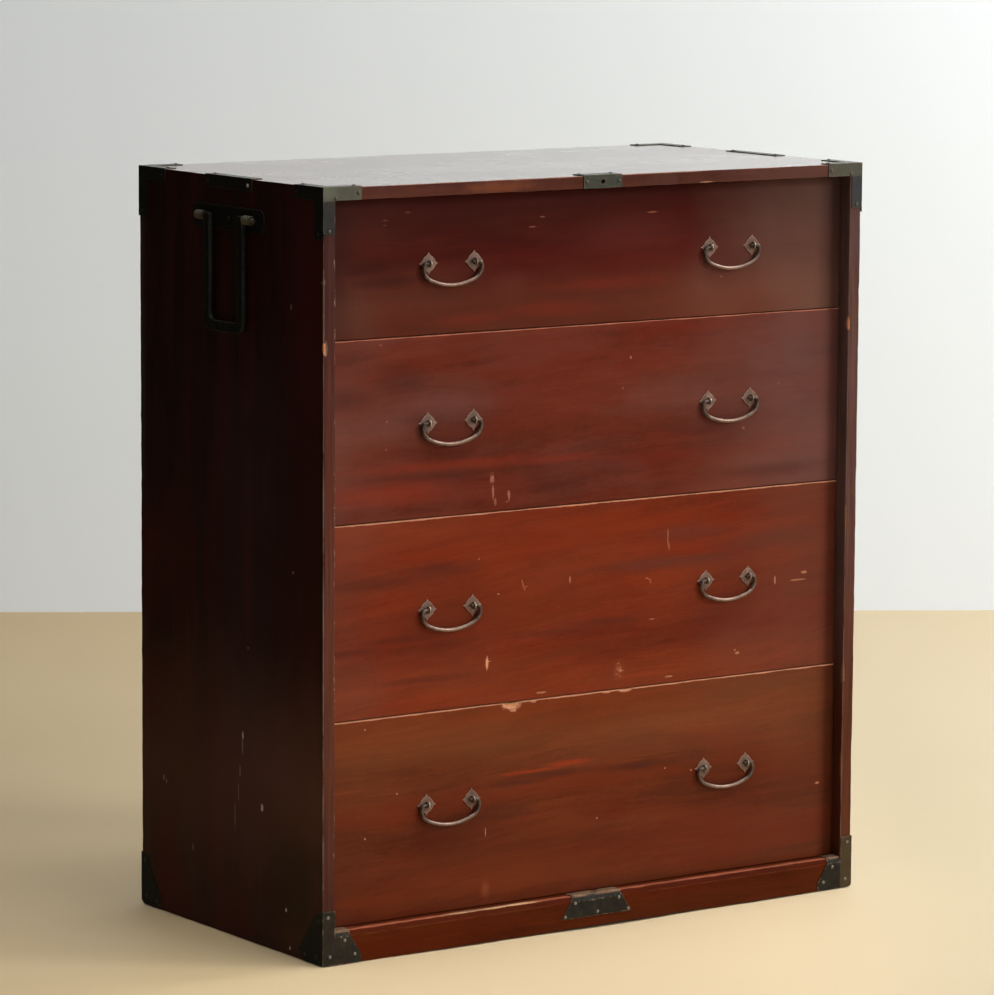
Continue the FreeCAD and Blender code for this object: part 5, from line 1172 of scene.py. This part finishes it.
def plate(node, mat, bevel=0.00025, step=0.005, dent=0.00016, seed=1.0, rim=0.0011, rim_rub=0.62, after=None):
    """Thin forged iron: eased rim that is rubbed bright, face a little uneven."""
    lo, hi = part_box(node)
    bm = from_node(node)
    rub = bm.faces.layers.float.new("rub")
    if rim:
        big = [f for f in bm.faces if f.calc_area() > 1.2e-4]
        for f in big:
            r = bmesh.ops.inset_region(bm, faces=[f], thickness=rim, use_even_offset=True, use_boundary=True)
            for g in r["faces"]:
                g[rub] = rim_rub
    es = sharp_edges(bm, 20.0)
    r = bmesh.ops.bevel(bm, geom=es, offset=bevel, offset_type="OFFSET", segments=1, profile=0.5, affect="EDGES", clamp_overlap=True)
    for f in r["faces"]:
        f[rub] = 1.0
    for axis in range(3):
        vals = [v for v in spread(lo[axis], hi[axis], step)] if hi[axis] - lo[axis] > 0.012 else []
        cut(bm, axis, vals)
    bm.normal_update()
    moves = []
    for v in bm.verts:
        n = fbm(v.co, 75.0, seed, 3)
        moves.append((v, v.normal * dent * n))
    for v, m in moves:
        v.co += m
        v.co.z = max(v.co.z, 0.0003)
    if after is not None:
        for v in bm.verts:
            v.co = after(v.co)
    return make(node + "_v", bm, BODY[node], mat, (node,), 32.0)


def worn_foot(co, sx=1.0, r=0.0045):
    """The outer lower corner of the right front foot is worn round."""
    hx = 0.3914
    cx, cz = hx - r, r
    if co.x > cx and co.z < cz:
        dx, dz = co.x - cx, cz - co.z
        q = math.hypot(dx, dz)
        m = max(dx, dz)
        if q > 1e-9 and m > 0:
            f = m / q
            return Vector((cx + dx * f, co.y, cz - dz * f))
    return co


def forged(node, mat, voxel=0.0006, smoothing=6, dent=0.00022, scale=90.0, seed=1.0):
    """Forged iron: one continuous skin over the CAD shape, softened and uneven."""
    src = bpy.data.objects.new(node + "_tmp", N[node].data.copy())
    scene.collection.objects.link(src)
    weld = src.modifiers.new("w", "WELD")
    weld.merge_threshold = 2e-6
    rm = src.modifiers.new("r", "REMESH")
    rm.mode = "VOXEL"
    rm.voxel_size = voxel
    dg = bpy.context.evaluated_depsgraph_get()
    me = bpy.data.meshes.new_from_object(src.evaluated_get(dg))
    bpy.data.objects.remove(src)
    bm = bmesh.new()
    bm.from_mesh(me)
    bpy.data.meshes.remove(me)
    for _ in range(smoothing):
        bmesh.ops.smooth_vert(bm, verts=bm.verts[:], factor=0.5, use_axis_x=True, use_axis_y=True, use_axis_z=True)
    bm.normal_update()
    rub = bm.verts.layers.float.new("rub")
    for v in bm.verts:
        # convex places are rubbed bright
        c = Vector((0, 0, 0))
        for e in v.link_edges:
            c += e.other_vert(v).co
        c /= max(1, len(v.link_edges))
        v[rub] = max(0.0, min(1.0, (v.co - c).dot(v.normal) / voxel * 9.0))
    moves = [(v, v.normal * dent * (fbm(v.co, scale, seed, 3))) for v in bm.verts]
    for v, m in moves:
        v.co += m
        v.co.x = max(CAD_LO[0], min(CAD_HI[0], v.co.x))
    return make(node + "_v", bm, BODY[node], mat, (node,), 60.0, weighted=False)


# --- carcass ---------------------------------------------------------------
def outer_only(a, b):
    """The comb joint between top and sides stays closed: its seams aren't eased."""
    z = (a.z + b.z) / 2
    x = abs((a.x + b.x) / 2)
    if z > 0.8846 and z < 0.8999 and x > 0.3735:
        # upright and lying seams of the fingers, except the outer vertical corners
        y = (a.y + b.y) / 2
        return abs(abs(y) - 0.202) < 1e-4 and x > 0.390
    if z >= 0.8999 and x > 0.3735:
        y = (a.y + b.y) / 2
        same_x = abs(a.x - b.x) < 1e-6
        return (same_x and x > 0.3904) or (not same_x and abs(abs(y) - 0.202) < 1e-4)
    return True


for lr, sx in (("left", -1), ("right", 1)):
    board("side_panel_" + lr, M["side_" + lr], bevel=0.0008, steps=(None, 0.012, 0.012), amp=0.0005, seed=3.0 + sx,
          keep=outer_only, undulate=0.00025,
          chips=([((-0.3890, -0.202, 0.7175), (0.003, 0.003, 0.009), 0.0012)] if sx < 0 else
                 [((0.3740, -0.202, 0.705), (0.003, 0.004, 0.009), 0.0010)]),
          second=[(M["top"], lambda f: f.normal.z > 0.9 and f.calc_center_median().z > 0.8985)])
board("top_panel", M["top"], bevel=0.0008, steps=(0.012, 0.012, None), amp=0.0004, seed=7.0, keep=outer_only, undulate=0.0002,
      second=[(M["side_left"], lambda f: f.normal.x < -0.9 and f.calc_center_median().x < -0.3895),
              (M["side_right"], lambda f: f.normal.x > 0.9 and f.calc_center_median().x > 0.3895),
              (M["rail"], lambda f: f.normal.y > 0.9 and f.calc_center_median().y > 0.2000),
              (M["rail"], lambda f: f.normal.y < -0.7 and f.calc_center_median().y < -0.2005)])
board("front_sill", M["sill"], bevel=0.0005, steps=(0.006, None, None), amp=0.0006, reach=0.004, seed=9.0,
      fine=[(1, [-0.2013, -0.2007, -0.2001]), (2, [0.030, 0.0315, 0.033, 0.0345, 0.036, 0.0375])])
board("back_panel", M["back"], bevel=0.0006, steps=(0.05, None, 0.05), amp=0.0003, seed=10.0, undulate=0.0003)
board("bottom_panel", M["shelf"], bevel=0.0005, amp=0.0)
for n in (1, 2, 3):
    board("divider_board_%d" % n, M["shelf"], bevel=0.0005, amp=0.0)

# --- drawers -----------------------------------------------------------------
CHIPS = {
    3: [((-0.1500, -0.185, 0.331), (0.0018, 0.0012, 0.0055), 0.0003)],
    4: [((-0.1136, -0.185, 0.280), (0.0130, 0.006, 0.0078), 0.0022), ((0.0521, -0.185, 0.280), (0.008, 0.004, 0.0026), 0.0011)],
}
for n in (1, 2, 3, 4):
    board("drawer_%d_front" % n, M["front_%d" % n], bevel=0.0007, steps=(0.008, None, 0.016), amp=0.0004,
          seed=20.0 + n, chips=CHIPS.get(n, ()), undulate=0.0002)
    board("drawer_%d_sides" % n, M["inner_y"], bevel=0.0006, amp=0.0)
    board("drawer_%d_back" % n, M["inner"], bevel=0.0006, amp=0.0)
    board("drawer_%d_bottom" % n, M["inner"], bevel=0.0005, amp=0.0)

# --- irons ---------------------------------------------------------------------
i = 0
for node in sorted(N):
    if node.startswith("corner_iron") or node in ("lock_plate", "sill_plate") or node.startswith("edge_strap"):
        i += 1
        if node == "corner_iron_bottom_front_right":
            plate(node, M["corner"], seed=30.0 + i, step=0.0025, after=worn_foot)
        else:
            plate(node, M["corner"], seed=30.0 + i)
for lr in ("left", "right"):
    plate("side_handle_plate_" + lr, M["carry"], seed=50.0)
    forged("side_handle_bail_" + lr, M["carry"], voxel=0.0008, smoothing=4, dent=0.0004, scale=70.0, seed=51.0)
    forged("side_handle_staples_" + lr, M["carry"], voxel=0.0005, smoothing=3, dent=0.0002, scale=120.0, seed=53.0)

# --- drawer handles ---------------------------------------------------------------
def bail_path():
    """Half of a bail in its own plane, from the pin's tip to the middle: x, z in mm."""
    zc = -5.0 + math.sqrt((78.0 - 15.6) ** 2 - (41.0 - 15.6) ** 2)
    th = math.atan2(25.4, zc + 5.0)
    pts = [(27.0 + 9.0 * t / 8.0, 0.0) for t in range(8)]
    pts += [(36.0 + 5.0 * math.sin(a), -5.0 + 5.0 * math.cos(a)) for a in (math.pi / 2 * t / 8.0 for t in range(8))]
    end = math.pi / 2 - th
    pts += [(25.4 + 15.6 * math.cos(a), -5.0 - 15.6 * math.sin(a)) for a in (end * t / 15.0 for t in range(15))]
    pts += [(78.0 * math.cos(a), zc - 78.0 * math.sin(a)) for a in (end + th * t / 27.0 for t in range(28))]
    return pts


def drawer_bail(node, cx, cy, cz, seed):
    """A hand-forged wire bail: swept round section, thinner at its pins, worn in the bow."""
    half = bail_path()
    path = half + [(-x, z) for x, z in reversed(half[:-1])]
    n = len(path)
    length = [0.0]
    for i in range(1, n):
        length.append(length[-1] + math.hypot(path[i][0] - path[i - 1][0], path[i][1] - path[i - 1][1]))
    bm = bmesh.new()
    rub = bm.verts.layers.float.new("rub")
    seg = 18
    rings = []
    for i, (x, z) in enumerate(path):
        a, b = path[max(0, i - 1)], path[min(n - 1, i + 1)]
        tx, tz = b[0] - a[0], b[1] - a[1]
        q = math.hypot(tx, tz)
        tx, tz = tx / q, tz / q
        u = min(length[i], length[-1] - length[i])          # way from the nearer tip
        mid = 1.0 - abs(2.0 * length[i] / length[-1] - 1.0)
        r = 1.95 + 0.43 * min(1.0, u / 26.0)
        if u < 1.4:
            r *= math.sqrt(max(0.06, 1.0 - ((1.4 - u) / 1.5) ** 2))
        ring = []
        for j in range(seg):
            w = 2.0 * math.pi * j / seg
            ca, sa = math.cos(w), math.sin(w)
            rr = r * (1.0 + 0.030 * noise.noise(Vector((length[i] * 0.16, ca * 0.9 + seed * 5.0, sa * 0.9))))
            rr *= 1.0 - 0.045 * max(0.0, math.cos(2.0 * w + seed)) * min(1.0, u / 20.0)
            # the section lies square to the path: one side axis in the bail's plane, one along y
            px = x - tz * ca * rr
            pz = z + tx * ca * rr
            v = bm.verts.new((cx + px * MM, cy + sa * rr * MM, cz + pz * MM))
            v[rub] = 0.05 + 0.75 * mid ** 1.5 + (0.28 if sa < -0.2 else 0.0) * mid
            ring.append(v)
        rings.append(ring)
    for a, b in zip(rings, rings[1:]):
        for j in range(seg):
            bm.faces.new((a[j], a[(j + 1) % seg], b[(j + 1) % seg], b[j]))
    bm.faces.new(rings[0])
    bm.faces.new(rings[-1])
    return make(node + "_v", bm, BODY[node], M["bail"], (node,), 70.0, weighted=False)


def handle_plates(node, cz, seed):
    """Thin cut diamonds, cushioned towards the middle, with uneven rubbed rims."""
    lo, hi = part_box(node)
    bm = from_node(node)
    es = sharp_edges(bm, 20.0)
    rub = bm.faces.layers.float.new("rub")
    r = bmesh.ops.bevel(bm, geom=es, offset=0.00022, offset_type="OFFSET", segments=2, profile=0.6, affect="EDGES", clamp_overlap=True)
    for f in r["faces"]:
        f[rub] = 1.0
    centres = [sx * 0.2036 + sp * 0.032 for sx in (-1, 1) for sp in (-1, 1)]
    cut(bm, 0, [c + t * 0.0016 for c in centres for t in range(-8, 9)])
    cut(bm, 2, [cz + t * 0.0016 for t in range(-8, 9)])
    bm.normal_update()
    table = [(0.0, 1.0), (5.8, 0.945), (17.7, 0.975), (31.0, 1.07), (45.0, 1.105)]
    for v in bm.verts:
        c = min(centres, key=lambda q: abs(q - v.co.x))
        # fuller sides between the four points
        dx, dz = v.co.x - c, v.co.z - cz
        ang = math.degrees(math.atan2(min(abs(dx), abs(dz)), max(abs(dx), abs(dz)) + 1e-12))
        for (a0, f0), (a1, f1) in zip(table, table[1:]):
            if a0 <= ang <= a1 + 1e-6:
                f = f0 + (f1 - f0) * (ang - a0) / (a1 - a0)
                break
        near = min(1.0, math.hypot(dx, dz) / 0.004)
        f = 1.0 + (f - 1.0) * near
        v.co.x, v.co.z = c + dx * f, cz + dz * f
        q = math.hypot(v.co.x - c, v.co.z - cz) / 0.013
        if v.co.y < lo[1] + 0.0004:
            v.co.y -= 0.00022 * max(0.0, 1.0 - q * q) + 0.00005 * fbm(v.co, 260.0, seed, 3)
        v.co.x += 0.00018 * fbm(v.co, 120.0, seed + 3.0, 2) * min(1.0, q)
        v.co.z += 0.00018 * fbm(v.co, 120.0, seed + 6.0, 2) * min(1.0, q)
    return make(node + "_v", bm, BODY[node], M["plate"], (node,), 40.0)


for n in (1, 2, 3, 4):
    for lr, sx in (("left", -1), ("right", 1)):
        drawer_bail("drawer_%d_bail_%s" % (n, lr), sx * 0.2036, -0.1888, GRIPS[n], n * 2.0 + sx)
    handle_plates("drawer_%d_handle_plates" % n, GRIPS[n], 60.0 + n)
    forged("drawer_%d_handle_posts" % n, M["post"], voxel=0.00036, smoothing=2, dent=0.00010, scale=240.0, seed=70.0 + n)


# --- nails -----------------------------------------------------------------------------
def all_nails(node):
    """Hammered nail heads, each a little different, where the CAD has its nails."""
    src = bmesh.new()
    src.from_mesh(N[node].data)
    bmesh.ops.remove_doubles(src, verts=src.verts[:], dist=2e-6)
    seen, spots = set(), []
    for v in src.verts:
        if v.index in seen:
            continue
        group, todo = [], [v]
        seen.add(v.index)
        while todo:
            w = todo.pop()
            group.append(w.co.copy())
            for e in w.link_edges:
                o = e.other_vert(w)
                if o.index not in seen:
                    seen.add(o.index)
                    todo.append(o)
        lo = Vector([min(c[i] for c in group) for i in range(3)])
        hi = Vector([max(c[i] for c in group) for i in range(3)])
        size = hi - lo
        axis = max(range(3), key=lambda i: size[i])
        mid = (lo + hi) / 2
        sign = 1.0 if (axis == 2 or mid[axis] > 0) else -1.0
        out = Vector((0, 0, 0))
        out[axis] = sign
        base = mid.copy()
        base[axis] = (hi[axis] if sign > 0 else lo[axis]) - sign * 0.0012
        spots.append((base, out))
    src.free()
    spots.sort(key=lambda q: (round(q[0].z, 5), round(q[0].x, 5), round(q[0].y, 5)))
    rnd = random.Random(77)
    bm = bmesh.new()
    rub = bm.verts.layers.float.new("rub")
    profile = [(0.0, -8.0), (0.45, -7.4), (0.9, -5.6), (0.9, -0.05), (2.25, -0.05), (2.48, 0.10), (2.44, 0.36), (2.20, 0.66),
               (1.78, 0.90), (1.20, 1.06), (0.60, 1.15), (0.0, 1.18)]
    seg = 18
    for base, out in spots:
        side = Vector((1, 0, 0)) if abs(out.x) < 0.5 else Vector((0, 1, 0))
        up = out.cross(side)
        turn, oval, size = rnd.random() * 6.28, rnd.uniform(0.0, 0.06), rnd.uniform(0.90, 1.0)
        flat = rnd.uniform(0.72, 1.0)
        tilt = (rnd.uniform(-0.05, 0.05), rnd.uniform(-0.05, 0.05))
        rings = []
        for r, h in profile:
            head = h > -0.06 and r != 0.9
            if head and h > 0:
                h = min(h, 1.18 * flat + (h - 1.18 * flat) * 0.25) if h > 1.18 * flat else h
            if r == 0.0:
                v = bm.verts.new(base + out * h * MM)
                v[rub] = max(0.0, h)
                rings.append([v])
                continue
            ring = []
            for j in range(seg):
                a = 2.0 * math.pi * j / seg
                rr = r * (size * (1.0 + oval * math.cos(2.0 * (a - turn)) - oval) if head else 1.0)
                hh = h
                if head:
                    rr *= 1.0 - 0.035 * abs(noise.noise(Vector((a * 1.3, base.x * 900.0, base.z * 900.0))))
                    if h > 0.2:
                        hh = min(1.19, h + rr * (tilt[0] * math.cos(a) + tilt[1] * math.sin(a)) * 0.6)
                v = bm.verts.new(base + (side * math.cos(a) + up * math.sin(a)) * rr * MM + out * hh * MM)
                v[rub] = max(0.0, min(1.0, h * 1.1))
                ring.append(v)
            rings.append(ring)
        for a, b in zip(rings, rings[1:]):
            for j in range(seg):
                if len(a) == 1:
                    bm.faces.new((a[0], b[j], b[(j + 1) % seg]))
                elif len(b) == 1:
                    bm.faces.new((a[j], b[0], a[(j + 1) % seg]))
                else:
                    bm.faces.new((a[j], b[j], b[(j + 1) % seg], a[(j + 1) % seg]))
    print("nails", len(spots))
    return make(node + "_v", bm, BODY[node], M["nail"], (node,), 60.0, weighted=False)


all_nails("iron_nails")
